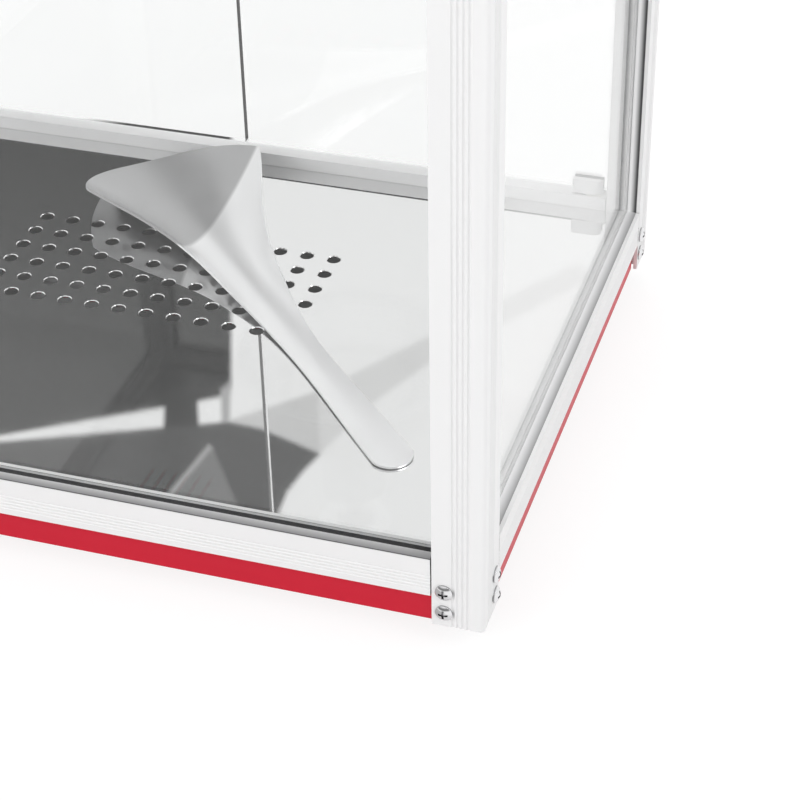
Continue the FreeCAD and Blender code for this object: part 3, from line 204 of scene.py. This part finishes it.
def make_camera():
    """The photograph's camera: no shift, no depth of field."""
    sin_turn, cos_turn = math.sin(CAMERA_TURN), math.cos(CAMERA_TURN)
    sin_dip, cos_dip = math.sin(CAMERA_DIP), math.cos(CAMERA_DIP)
    forward = Vector((-sin_turn * cos_dip, cos_turn * cos_dip, -sin_dip))
    level = Vector((cos_turn, sin_turn, 0))
    down = forward.cross(level)
    right = level * math.cos(CAMERA_ROLL) + down * math.sin(CAMERA_ROLL)
    down = down * math.cos(CAMERA_ROLL) - level * math.sin(CAMERA_ROLL)
    data = bpy.data.cameras.new("camera")
    data.lens = CAMERA_LENS
    data.sensor_width = CAMERA_SENSOR
    camera = bpy.data.objects.new("camera", data)
    turn = Matrix((right, -down, -forward)).transposed()
    camera.matrix_world = Matrix.Translation(post_corner() + CAMERA_FROM_CORNER) @ turn.to_4x4()
    bpy.context.scene.collection.objects.link(camera)
    bpy.context.scene.camera = camera


class Graph:
    """Short ways to add and link shader nodes."""

    def __init__(self, tree):
        self.tree = tree

    def node(self, kind, **settings):
        made = self.tree.nodes.new("ShaderNode" + kind)
        for name, value in settings.items():
            setattr(made, name, value)
        return made

    def link(self, source, target):
        self.tree.links.new(source, target)

    def feed(self, socket, value):
        if isinstance(value, bpy.types.NodeSocket):
            self.link(value, socket)
        else:
            socket.default_value = value

    def math(self, operation, *values):
        made = self.node("Math", operation=operation)
        for socket, value in zip(made.inputs, values):
            self.feed(socket, value)
        return made.outputs[0]

    def vector(self, operation, *values):
        made = self.node("VectorMath", operation=operation)
        for socket, value in zip(made.inputs, values):
            self.feed(socket, value)
        return made.outputs["Value" if operation in ("LENGTH", "DOT_PRODUCT") else "Vector"]

    def ramp(self, value, low, high, start=NOISE_LOW, end=NOISE_HIGH):
        """Runs from low to high while value runs from start to end."""
        made = self.node("MapRange")
        settings = {"From Min": start, "From Max": end, "To Min": low, "To Max": high}
        for name, number in settings.items():
            made.inputs[name].default_value = number
        self.link(value, made.inputs["Value"])
        return made.outputs["Result"]

    def blend(self, share, first, second):
        """A number between first and second."""
        made = self.node("Mix", data_type="FLOAT")
        sockets = made.inputs[:1] + made.inputs[2:4]
        for socket, value in zip(sockets, (share, first, second)):
            self.feed(socket, value)
        return made.outputs[0]


def white_to_eye(graph):
    """1 for rays that reach the eye, straight or by gloss or glass, and 0 for those that light a
    surface."""
    path = graph.node("LightPath")
    gloss, glass = path.outputs["Is Glossy Ray"], path.outputs["Is Transmission Ray"]
    through = graph.math("MAXIMUM", gloss, glass)
    seen = graph.math("MAXIMUM", through, path.outputs["Is Camera Ray"])
    never_scattered = graph.math("LESS_THAN", path.outputs["Diffuse Depth"], 0.5)
    return graph.math("MULTIPLY", seen, never_scattered)


def only_gloss(graph):
    """1 for rays that a surface mirrors, 0 for those that come through glass too."""
    path = graph.node("LightPath")
    gloss, glass = path.outputs["Is Glossy Ray"], path.outputs["Is Transmission Ray"]
    return graph.math("GREATER_THAN", gloss, glass)


def inward_reach(graph, point, corners):
    """How far a point lies inside an outline whose corners run anticlockwise."""
    reach = None
    for start, end in zip(corners, corners[1:] + corners[:1]):
        along = (Vector(end) - Vector(start)).normalized()
        inward = Vector((-along.y, along.x))
        over = graph.vector("DOT_PRODUCT", point, (inward.x, inward.y, 0))
        over = graph.math("SUBTRACT", over, inward.dot(Vector(start)))
        reach = over if reach is None else graph.math("MINIMUM", reach, over)
    return reach


def studio_grey(graph):
    """White, with the dark things behind the cabinet and the studio's dark end before it."""
    split = graph.node("SeparateXYZ")
    graph.link(graph.node("TexCoord").outputs["Generated"], split.inputs[0])
    x, y, z = split.outputs
    flat = graph.node("CombineXYZ")
    for socket, value in zip(flat.inputs, (x, z)):
        graph.link(graph.math("DIVIDE", value, y), socket)
    behind = graph.math("GREATER_THAN", y, 0)
    level = 1.0
    for _, grey, corners in STUDIO_SHAPES:
        reach = inward_reach(graph, flat.outputs[0], corners)
        inside = graph.ramp(reach, 0, 1, -STUDIO_EDGE_SOFT, STUDIO_EDGE_SOFT)
        level = graph.blend(graph.math("MULTIPLY", inside, behind), level, grey)
    rise = graph.math("DIVIDE", z, graph.math("MULTIPLY", y, -1))
    soft = DARK_END_SOFT
    above = graph.ramp(rise, 0, 1, DARK_END_LOW - soft, DARK_END_LOW + soft)
    below = graph.ramp(rise, 1, 0, DARK_END_HIGH - soft, DARK_END_HIGH + soft)
    ahead = graph.math("LESS_THAN", y, 0)
    before = graph.math("MULTIPLY", ahead, graph.math("MULTIPLY", above, below))
    return graph.blend(before, level, DARK_END_GREY)


def make_world():
    world = bpy.data.worlds.new("studio")
    world.use_nodes = True
    graph = Graph(world.node_tree)
    background = world.node_tree.nodes["Background"]
    background.inputs["Color"].default_value = (*WHITE, 1)
    direct = graph.node("LightPath").outputs["Is Camera Ray"]
    seen = graph.blend(direct, studio_grey(graph), 1.0)
    graph.link(graph.blend(white_to_eye(graph), ROOM_LIGHT, seen), background.inputs["Strength"])
    bpy.context.scene.world = world


def make_floor():
    """White paper: plain to the light, and a glow over a thin diffuse layer, which keeps shadows,
    to the eye."""
    mesh = bpy.data.meshes.new("studio_floor")
    corners = [(x * FLOOR_HALF, y * FLOOR_HALF, 0) for x, y in FLOOR_CORNERS]
    mesh.from_pydata(corners, [], [tuple(range(len(corners)))])
    floor = bpy.data.objects.new("studio_floor", mesh)
    bpy.context.scene.collection.objects.link(floor)
    material = bpy.data.materials.new("studio_paper")
    material.use_nodes = True
    graph = Graph(material.node_tree)
    material.node_tree.nodes.clear()
    paper = graph.node("BsdfDiffuse")
    paper.inputs["Color"].default_value = (*FLOOR_COLOUR, 1)
    seen = graph.node("BsdfDiffuse")
    seen.inputs["Color"].default_value = (*FLOOR_SEEN_COLOUR, 1)
    glow = graph.node("Emission")
    split = graph.node("SeparateXYZ")
    graph.link(graph.node("TexCoord").outputs["Object"], split.inputs[0])
    ahead = graph.ramp(split.outputs["X"], 1, 0, *FLOOR_GLOSS_END)
    darker = graph.math("MULTIPLY", only_gloss(graph), ahead)
    graph.link(graph.blend(darker, FLOOR_SEEN_GLOW, FLOOR_GLOSS_GLOW), glow.inputs["Strength"])
    both = graph.node("AddShader")
    graph.link(seen.outputs[0], both.inputs[0])
    graph.link(glow.outputs[0], both.inputs[1])
    mix = graph.node("MixShader")
    graph.link(white_to_eye(graph), mix.inputs[0])
    graph.link(paper.outputs[0], mix.inputs[1])
    graph.link(both.outputs[0], mix.inputs[2])
    graph.link(mix.outputs[0], graph.node("OutputMaterial").inputs["Surface"])
    mesh.materials.append(material)


def make_softbox(name, place, size, power, mirrored):
    data = bpy.data.lights.new(name, "AREA")
    data.shape = "RECTANGLE"
    data.size, data.size_y = size
    data.energy = power
    lamp = bpy.data.objects.new(name, data)
    lamp.location = place
    way = Vector(SOFTBOX_AIM) - Vector(place)
    lamp.rotation_euler = way.to_track_quat("-Z", "Y").to_euler()
    lamp.visible_glossy = mirrored
    lamp.visible_transmission = mirrored
    bpy.context.scene.collection.objects.link(lamp)


def make_studio():
    make_world()
    make_floor()
    for softbox in SOFTBOXES:
        make_softbox(*softbox)


class Finish(Graph):
    """A node material: one Principled shader, with procedural patterns in the object's own
    coordinates."""

    def __init__(self, name, colour, roughness, metallic=0.0, **sockets):
        self.material = bpy.data.materials.new(name)
        self.material.use_nodes = True
        super().__init__(self.material.node_tree)
        self.shader = self.tree.nodes["Principled BSDF"]
        self.colour = colour
        self.shader.inputs["Base Color"].default_value = (*colour, 1)
        self.shader.inputs["Roughness"].default_value = roughness
        self.shader.inputs["Metallic"].default_value = metallic
        for socket, value in sockets.items():
            self.shader.inputs[socket.replace("_", " ")].default_value = value
        self.height = None

    def place(self, stretch=(1, 1, 1), centre=(0, 0, 0)):
        """Object coordinates, moved to a centre and stretched along the axes."""
        here = self.node("TexCoord").outputs["Object"]
        moved = self.node("Mapping")
        moved.vector_type = "POINT"
        moved.inputs["Scale"].default_value = stretch
        moved.inputs["Location"].default_value = [-c * s for c, s in zip(centre, stretch)]
        self.link(here, moved.inputs["Vector"])
        return moved.outputs[0]

    def noise(self, size, detail, stretch=(1, 1, 1)):
        """Noise whose lumps are about size metres across, 0 to 1."""
        made = self.node("TexNoise")
        made.inputs["Scale"].default_value = 1 / size
        made.inputs["Detail"].default_value = detail
        self.link(self.place(stretch), made.inputs["Vector"])
        return made.outputs["Fac"]

    def tint(self, value, other, start=NOISE_LOW, end=NOISE_HIGH):
        """Lets the colour drift to another one where value is high."""
        mix = self.node("Mix", data_type="RGBA")
        colour = self.shader.inputs["Base Color"]
        if colour.is_linked:
            self.link(colour.links[0].from_socket, mix.inputs[MIX_FIRST])
        else:
            mix.inputs[MIX_FIRST].default_value = (*self.colour, 1)
        mix.inputs[MIX_SECOND].default_value = (*other, 1)
        self.link(self.ramp(value, 0, 1, start, end), mix.inputs[MIX_SHARE])
        self.link(mix.outputs[MIX_RESULT], colour)

    def gloss(self, value, low, high, start=NOISE_LOW, end=NOISE_HIGH):
        """Lets the roughness drift between two values."""
        self.link(self.ramp(value, low, high, start, end), self.shader.inputs["Roughness"])

    def paint_seam_shade(self, reach, colour, start, end):
        """Paints shade into the corners within reach of another surface, darker by how much they
        are hidden.
        """
        corner = self.node("AmbientOcclusion", samples=8)
        corner.inputs["Distance"].default_value = reach
        self.tint(self.math("SUBTRACT", 1, corner.outputs["AO"]), colour, start, end)

    def relief(self, value, depth):
        """Adds value, times depth in metres, to the height that bends the normal."""
        part = self.math("MULTIPLY", value, depth)
        self.height = part if self.height is None else self.math("ADD", self.height, part)

    def done(self, edge=0.0):
        """Wires the relief, over edges rounded by a radius, and returns the material."""
        normal = None
        if edge:
            bevel = self.node("Bevel", samples=4)
            bevel.inputs["Radius"].default_value = edge
            normal = bevel.outputs["Normal"]
        if self.height is not None:
            bump = self.node("Bump")
            bump.inputs["Strength"].default_value = 1.0
            bump.inputs["Distance"].default_value = 1.0
            self.link(self.height, bump.inputs["Height"])
            if normal is not None:
                self.link(normal, bump.inputs["Normal"])
            normal = bump.outputs["Normal"]
        if normal is not None:
            self.link(normal, self.shader.inputs["Normal"])
        return self.material


def white_powder_coat(name="white_powder_coat", colour=WHITE_COAT):
    made = Finish(name, colour, roughness=0.36)
    drift = [WHITE_DRIFT_SHARE * part for part in colour]
    made.tint(made.noise(size=0.12, detail=3), drift)
    made.gloss(made.noise(size=0.004, detail=4), low=0.32, high=0.42)
    made.relief(made.noise(size=0.0011, detail=2), depth=0.000004)
    # Painted shade in narrow seams and corners, such as the gap at a rail's end
    made.paint_seam_shade(reach=0.0022, colour=WHITE_SEAM_SHADE, start=0.45, end=0.9)
    return made.done(edge=0.0002)


def red_powder_coat():
    made = Finish("red_powder_coat", RED_COAT, roughness=0.34, Specular_IOR_Level=0.3)
    made.tint(made.noise(size=0.09, detail=3), RED_DRIFT)
    # Painted shade in the red panels' seams and corners
    made.paint_seam_shade(reach=0.006, colour=RED_SEAM_SHADE, start=0.5, end=0.95)
    made.gloss(made.noise(size=0.003, detail=4), low=0.32, high=0.38)
    made.relief(made.noise(size=0.0013, detail=2), depth=0.000004)
    return made.done(edge=0.0004)


def toughened_glass():
    """Clear panes that let the lamps' light through."""
    made = Finish("toughened_glass", CLEAR_GLASS, roughness=0.0, Transmission_Weight=1.0, IOR=1.5)
    through = made.node("BsdfTransparent")
    mix = made.node("MixShader")
    made.link(made.node("LightPath").outputs["Is Shadow Ray"], mix.inputs[0])
    made.link(made.shader.outputs[0], mix.inputs[1])
    made.link(through.outputs[0], mix.inputs[2])
    made.link(mix.outputs[0], made.tree.nodes["Material Output"].inputs["Surface"])
    return made.material


def glazing_rubber(name, axis, outer, glass, light, dark, gap=None):
    """Grey rubber with painted light and shade: painted light beside the glass, painted shade
    towards the frame's outer face. Its upright faces get painted shade: all of them, or only those
    within the gap from that face, the others then painted light."""
    made = Finish(name, dark, roughness=0.55)
    split = made.node("SeparateXYZ")
    made.link(made.place(), split.inputs[0])
    depth = made.math("ABSOLUTE", split.outputs[axis])
    # Painted light beside the glass, painted shade towards the frame's outer face
    made.tint(depth, light, outer, glass)
    facing = made.node("SeparateXYZ")
    made.link(made.node("NewGeometry").outputs["True Normal"], facing.inputs[0])
    # Upright faces carry painted shade: all of them, or, with a gap, only those near the frame's
    # face, the others painted light
    upright = made.ramp(made.math("ABSOLUTE", facing.outputs["Z"]), 1, 0, *UPRIGHT_SLOPES)
    if gap is not None:
        made.tint(upright, light, 0, 1)
        near_face = made.ramp(depth, 0, 1, outer - gap, outer - gap / 2)
        upright = made.math("MULTIPLY", upright, near_face)
    made.tint(upright, RUBBER_UPRIGHT_SHADE, 0, 1)
    made.gloss(made.noise(size=0.0012, detail=3), low=0.48, high=0.64)
    made.relief(made.noise(size=0.0007, detail=2), depth=0.000008)
    return made.done()


def front_rubber():
    post = abs(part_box("post_front_right")[0].y)
    glass = abs(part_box("glass_front")[0].y)
    return glazing_rubber("front_rubber", "Y", post, glass, FRONT_RUBBER_PAINTED_LIGHT, FRONT_RUBBER_PAINTED_SHADE)


def side_rubber():
    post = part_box("post_front_right")[1].x
    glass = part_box("glass_right")[1].x
    return glazing_rubber("side_rubber", "X", post, glass, SIDE_RUBBER_PAINTED_LIGHT, SIDE_RUBBER_PAINTED_SHADE,
                          SIDE_GAP)


def mirror_steel():
    """Polished sheet with faint hairs along X and a slow wave."""
    made = Finish("mirror_steel", MIRROR_STEEL, roughness=0.02, metallic=1.0)
    hairs = made.noise(size=0.0006, detail=3, stretch=(0.02, 1, 1))
    worn = made.math("MULTIPLY", hairs, made.noise(size=0.05, detail=4))
    made.gloss(worn, low=0.008, high=0.03, start=0.1, end=0.5)
    made.relief(made.noise(size=0.16, detail=1), depth=0.00002)
    made.relief(hairs, depth=0.0000004)
    return made.done()


def satin_steel():
    made = Finish("satin_steel", SATIN_STEEL, roughness=0.34, metallic=1.0, Anisotropic=0.5)
    hairs = made.noise(size=0.0005, detail=4, stretch=(0.015, 1, 1))
    made.tint(hairs, SATIN_DRIFT)
    made.gloss(hairs, low=0.26, high=0.42)
    made.relief(hairs, depth=0.000004)
    return made.done()


def heater_sheath():
    """Sheathed heating element, straw and blue where it has been hot."""
    made = Finish("heater_sheath", HEATER_STRAW, roughness=0.4, metallic=1.0)
    made.tint(made.noise(size=0.045, detail=3), HEATER_BLUE)
    made.gloss(made.noise(size=0.002, detail=4), low=0.32, high=0.5)
    made.relief(made.noise(size=0.0009, detail=3), depth=0.00001)
    return made.done()


def chrome_plate():
    made = Finish("chrome_plate", CHROME, roughness=0.08, metallic=1.0)
    # Painted shade in the screws' recesses and along their seams
    made.paint_seam_shade(reach=0.0016, colour=CHROME_SEAM_SHADE, start=0, end=0.7)
    made.gloss(made.noise(size=0.002, detail=4), low=0.05, high=0.13)
    made.relief(made.noise(size=0.0025, detail=2), depth=0.000006)
    return made.done(edge=0.00015)


def moulded_rubber():
    made = Finish("moulded_rubber", BLACK_RUBBER, roughness=0.7)
    made.tint(made.noise(size=0.006, detail=4), BLACK_RUBBER_DRIFT)
    made.relief(made.noise(size=0.0006, detail=3), depth=0.00002)
    return made.done(edge=0.0004)


def grained_plastic(name, colour, drift):
    made = Finish(name, colour, roughness=0.45)
    made.tint(made.noise(size=0.01, detail=3), drift)
    made.gloss(made.noise(size=0.0008, detail=3), low=0.36, high=0.54)
    made.relief(made.noise(size=0.0005, detail=2), depth=0.000012)
    return made.done(edge=0.0003)


def turned_rings(made, centre, pitch, across):
    """Concentric rings about a centre, in the plane of the two axes that across names."""
    line = made.node("TexNoise", noise_dimensions="1D")
    line.inputs["Scale"].default_value = 1 / pitch
    line.inputs["Detail"].default_value = 3.0
    made.link(made.vector("LENGTH", made.place(across, centre)), line.inputs["W"])
    return line.outputs["Fac"]


def satin_dial():
    """Aluminium disc turned in fine rings."""
    low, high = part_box("dial_plate")
    made = Finish("satin_dial", DIAL_METAL, roughness=0.3, metallic=1.0)
    rings = turned_rings(made, (low + high) / 2, pitch=0.0004, across=(1, 0, 1))
    made.gloss(rings, low=0.24, high=0.36)
    made.relief(rings, depth=0.000003)
    return made.done(edge=0.0002)


def turned_steel():
    made = Finish("turned_steel", SHAFT_STEEL, roughness=0.28, metallic=1.0)
    rings = made.noise(size=0.0004, detail=3, stretch=(0.05, 1, 0.05))
    made.gloss(rings, low=0.22, high=0.36)
    made.relief(rings, depth=0.000003)
    return made.done()


def plated_brass():
    made = Finish("plated_brass", BRASS, roughness=0.22, metallic=1.0)
    made.tint(made.noise(size=0.004, detail=3), BRASS_DRIFT)
    made.gloss(made.noise(size=0.001, detail=3), low=0.16, high=0.32)
    return made.done(edge=0.0002)


def amber_lens():
    made = Finish("amber_lens", AMBER, roughness=0.16, Transmission_Weight=0.35, IOR=1.49)
    made.tint(made.noise(size=0.004, detail=3), AMBER_DRIFT)
    made.relief(made.noise(size=0.0016, detail=1), depth=0.00003)
    return made.done()


def glazed_porcelain():
    made = Finish("glazed_porcelain", PORCELAIN, roughness=0.14, Coat_Weight=0.4,
                  Coat_Roughness=0.06)
    made.tint(made.noise(size=0.012, detail=4), PORCELAIN_DRIFT)
    made.gloss(made.noise(size=0.003, detail=3), low=0.1, high=0.2)
    made.relief(made.noise(size=0.006, detail=2), depth=0.00003)
    return made.done(edge=0.0006)


def reflector_bulb():
    """Frosted on the face, silvered above it, with a brass-coloured cap at the top."""
    low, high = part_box("lamp_bulb")
    height = high.z - low.z
    silver_start = low.z + height * SILVER_START_SHARE
    silver_end = low.z + height * SILVER_END_SHARE
    cap_start = low.z + height * CAP_START_SHARE
    made = Finish("reflector_bulb", BULB_FROST, roughness=0.35)
    split = made.node("SeparateXYZ")
    made.link(made.place(), split.inputs[0])
    level = split.outputs["Z"]
    made.tint(level, BULB_SILVER, silver_start, silver_end)
    made.tint(level, BULB_CAP, cap_start, cap_start + height * CAP_FADE_SHARE)
    metal = made.ramp(level, 0, 1, silver_start, silver_end)
    made.link(metal, made.shader.inputs["Metallic"])
    frost = made.noise(size=0.0009, detail=3)
    frosted = made.ramp(frost, low=0.16, high=0.28)
    duller = made.ramp(level, 0.2, 0, silver_start, silver_end)
    made.link(made.math("ADD", frosted, duller), made.shader.inputs["Roughness"])
    made.relief(frost, depth=0.000008)
    return made.done()


def spun_aluminium():
    """Sheet spun over a former, with the tool's rings."""
    low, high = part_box("lamp_shade")
    made = Finish("spun_aluminium", SPUN_METAL, roughness=0.24, metallic=1.0)
    rings = turned_rings(made, (low + high) / 2, pitch=0.0012, across=(1, 1, 0))
    made.gloss(rings, low=0.16, high=0.34)
    made.relief(rings, depth=0.000012)
    made.tint(made.noise(size=0.05, detail=3), SPUN_DRIFT)
    return made.done(edge=0.0004)


def scoop_metal():
    """Bright satin pressed sheet, with a painted dark reflection towards the mouth."""
    made = Finish("scoop_metal", SCOOP_BRIGHT, roughness=0.30, metallic=0.65)
    way = Vector(SCOOP_REFLECTION_WAY).normalized()
    start = Vector(SCOOP_REFLECTION_START).dot(way)
    reach = made.vector("DOT_PRODUCT", made.place(), way)
    # Painted dark reflection over the bowl, from a straight edge towards the mouth
    made.tint(reach, SCOOP_PAINTED_REFLECTION, start, start + SCOOP_REFLECTION_FADE)
    made.gloss(made.noise(size=0.02, detail=3), low=0.28, high=0.32)
    made.relief(made.noise(size=0.0008, detail=2), depth=0.0000008)
    return made.done(edge=0.0006)


def print_ink(name, colour):
    made = Finish(name, colour, roughness=0.5)
    made.gloss(made.noise(size=0.0006, detail=2), low=0.42, high=0.58)
    return made.done()


def make_finishes():
    """The record's material slots, each with its material."""
    return {
        "white_frame": white_powder_coat(),
        "red_enamel": red_powder_coat(),
        "clear_glass": toughened_glass(),
        "grey_rubber": front_rubber(),
        "polished_steel": mirror_steel(),
        "satin_steel": satin_steel(),
        "chrome": chrome_plate(),
        "black_rubber": moulded_rubber(),
        "black_plastic": grained_plastic("black_plastic", BLACK_PLASTIC, BLACK_PLASTIC_DRIFT),
        "white_plastic": grained_plastic("white_nylon", NYLON, NYLON_DRIFT),
        "white_casting": white_powder_coat("white_casting", WHITE_CASTING),
        "dial_aluminium": satin_dial(),
        "steel_shaft": turned_steel(),
        "brass": plated_brass(),
        "amber_lens": amber_lens(),
        "porcelain": glazed_porcelain(),
        "lamp_glass": reflector_bulb(),
        "spun_aluminium": spun_aluminium(),
        "scoop_aluminium": scoop_metal(),
    }


def dress_nodes(finishes):
    """Gives every node its slot's material, but for two that need their own."""
    slots = {part["node"]: part["material_slot"] for part in frame["record"]["subparts"]}
    special = {"floor_heater": heater_sheath(), "gaskets_side": side_rubber()}
    for name, node in frame["nodes"].items():
        node.data.materials.clear()
        node.data.materials.append(special.get(name, finishes[slots[name]]))


def surface_behind(node):
    """Finds the height of a node's rear face above a point of the XZ plane."""
    mesh = frame["nodes"][node].data
    tree = BVHTree.FromPolygons([v.co for v in mesh.vertices], [p.vertices for p in mesh.polygons])
    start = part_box(node)[1].y + RAY_START

    def find(x, z):
        hit = tree.ray_cast(Vector((x, start, z)), Vector((0, -1, 0)))
        return hit[0].y
    return find


def printed(name, outlines, node, body, material):
    """Thin ink on a node's rear face. Outlines are loops of (x, z), clockwise seen from behind."""
    find = surface_behind(node)
    vertices = []
    faces = []
    for loop in outlines:
        first = len(vertices)
        count = len(loop)
        for lift in (0, PRINT_THICKNESS):
            vertices += [(x, find(x, z) + lift, z) for x, z in loop]
        faces.append([first + count + i for i in range(count)])
        faces.append([first + i for i in reversed(range(count))])
        for i in range(count):
            after = (i + 1) % count
            faces.append([first + i, first + after, first + count + after, first + count + i])
    mesh = bpy.data.meshes.new(name)
    mesh.from_pydata(vertices, [], faces)
    mesh.materials.append(material)
    piece = bpy.data.objects.new(name, mesh)
    bpy.context.scene.collection.objects.link(piece)
    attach(piece, body)


def stroke(centre, angle, inner, outer, width):
    """A bar from inner to outer along an angle, clockwise from the top seen from behind."""
    along = Vector((-math.sin(angle), math.cos(angle)))
    across = Vector((along.y, -along.x)) * (width / 2)
    start, end = along * inner, along * outer
    corners = (start - across, start + across, end + across, end - across)
    return [(centre.x + corner.x, centre.z + corner.y) for corner in corners]


def make_dial_marks(ink):
    low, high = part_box("dial_plate")
    centre = (low + high) / 2
    ticks = []
    for _, angle in DIAL_MARKS:
        ticks.append(stroke(centre, math.radians(angle), DIAL_TICK_INNER, DIAL_TICK_OUTER,
                            DIAL_TICK_WIDTH))
    for step in range(DIAL_FINE_STEPS):
        angle = math.radians(DIAL_START + DIAL_SWEEP * (step + 0.5) / DIAL_FINE_STEPS)
        ticks.append(stroke(centre, angle, DIAL_TICK_INNER, DIAL_FINE_OUTER,
                            DIAL_TICK_WIDTH / 2))
    printed("dial_ticks", ticks, "dial_plate", "cabinet", ink)
    for text, angle in DIAL_MARKS:
        make_number("dial_number_" + text, text, centre, high.y, math.radians(angle), ink)


def make_number(name, text, centre, face, angle, ink):
    """An upright number on the dial, read from behind the cabinet."""
    curve = bpy.data.curves.new(name, "FONT")
    curve.body = text
    curve.size = DIAL_NUMBER_HEIGHT
    curve.align_x = "CENTER"
    curve.align_y = "CENTER"
    curve.extrude = PRINT_THICKNESS / 2
    shape = bpy.data.objects.new(name, curve)
    bpy.context.scene.collection.objects.link(shape)
    bpy.context.view_layer.update()
    evaluated = shape.evaluated_get(bpy.context.evaluated_depsgraph_get())
    mesh = bpy.data.meshes.new_from_object(evaluated)
    bpy.data.objects.remove(shape)
    place = Vector((centre.x - math.sin(angle) * DIAL_NUMBER_RADIUS, face + PRINT_THICKNESS / 2,
                    centre.z + math.cos(angle) * DIAL_NUMBER_RADIUS))
    facing_rear = Matrix(((-1, 0, 0), (0, 0, 1), (0, 1, 0))).to_4x4()
    mesh.transform(Matrix.Translation(place) @ facing_rear)
    mesh.name = name
    mesh.materials.clear()
    mesh.materials.append(ink)
    piece = bpy.data.objects.new(name, mesh)
    bpy.context.scene.collection.objects.link(piece)
    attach(piece, "cabinet")


def make_pointer(ink):
    low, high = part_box("thermostat_knob")
    centre = (low + high) / 2
    bar = stroke(centre, 0, POINTER_INNER, POINTER_OUTER, POINTER_WIDTH)
    printed("knob_pointer", [bar], "thermostat_knob", "thermostat", ink)


def make_rocker_marks(switch, body, ink):
    """A bar at the top and a ring at the bottom of a rocker."""
    low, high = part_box(switch)
    centre = (low + high) / 2
    top = Vector((centre.x, 0, centre.z + ROCKER_MARK_OFFSET))
    outer = ROCKER_MARK_HEIGHT / 2
    inner = outer - ROCKER_MARK_WIDTH
    pieces = [stroke(top, 0, -outer, outer, ROCKER_MARK_WIDTH)]
    bottom = centre.z - ROCKER_MARK_OFFSET
    for side in range(ROCKER_RING_SIDES):
        turns = [2 * math.pi * (side + step) / ROCKER_RING_SIDES for step in (0, 1)]
        ring = [(outer, turns[0]), (outer, turns[1]), (inner, turns[1]), (inner, turns[0])]
        pieces.append([(centre.x - math.sin(a) * r, bottom + math.cos(a) * r) for r, a in ring])
    printed(body + "_marks", pieces, switch, body, ink)


make_camera()
make_studio()
finishes = make_finishes()
dress_nodes(finishes)
black_ink = print_ink("black_ink", BLACK_INK)
white_ink = print_ink("white_ink", WHITE_INK)
make_dial_marks(black_ink)
make_pointer(white_ink)
make_rocker_marks("switch_rocker_power", "rocker_power", white_ink)
make_rocker_marks("switch_rocker_lamp", "rocker_lamp", white_ink)
bpy.context.scene.view_settings.view_transform = "Standard"
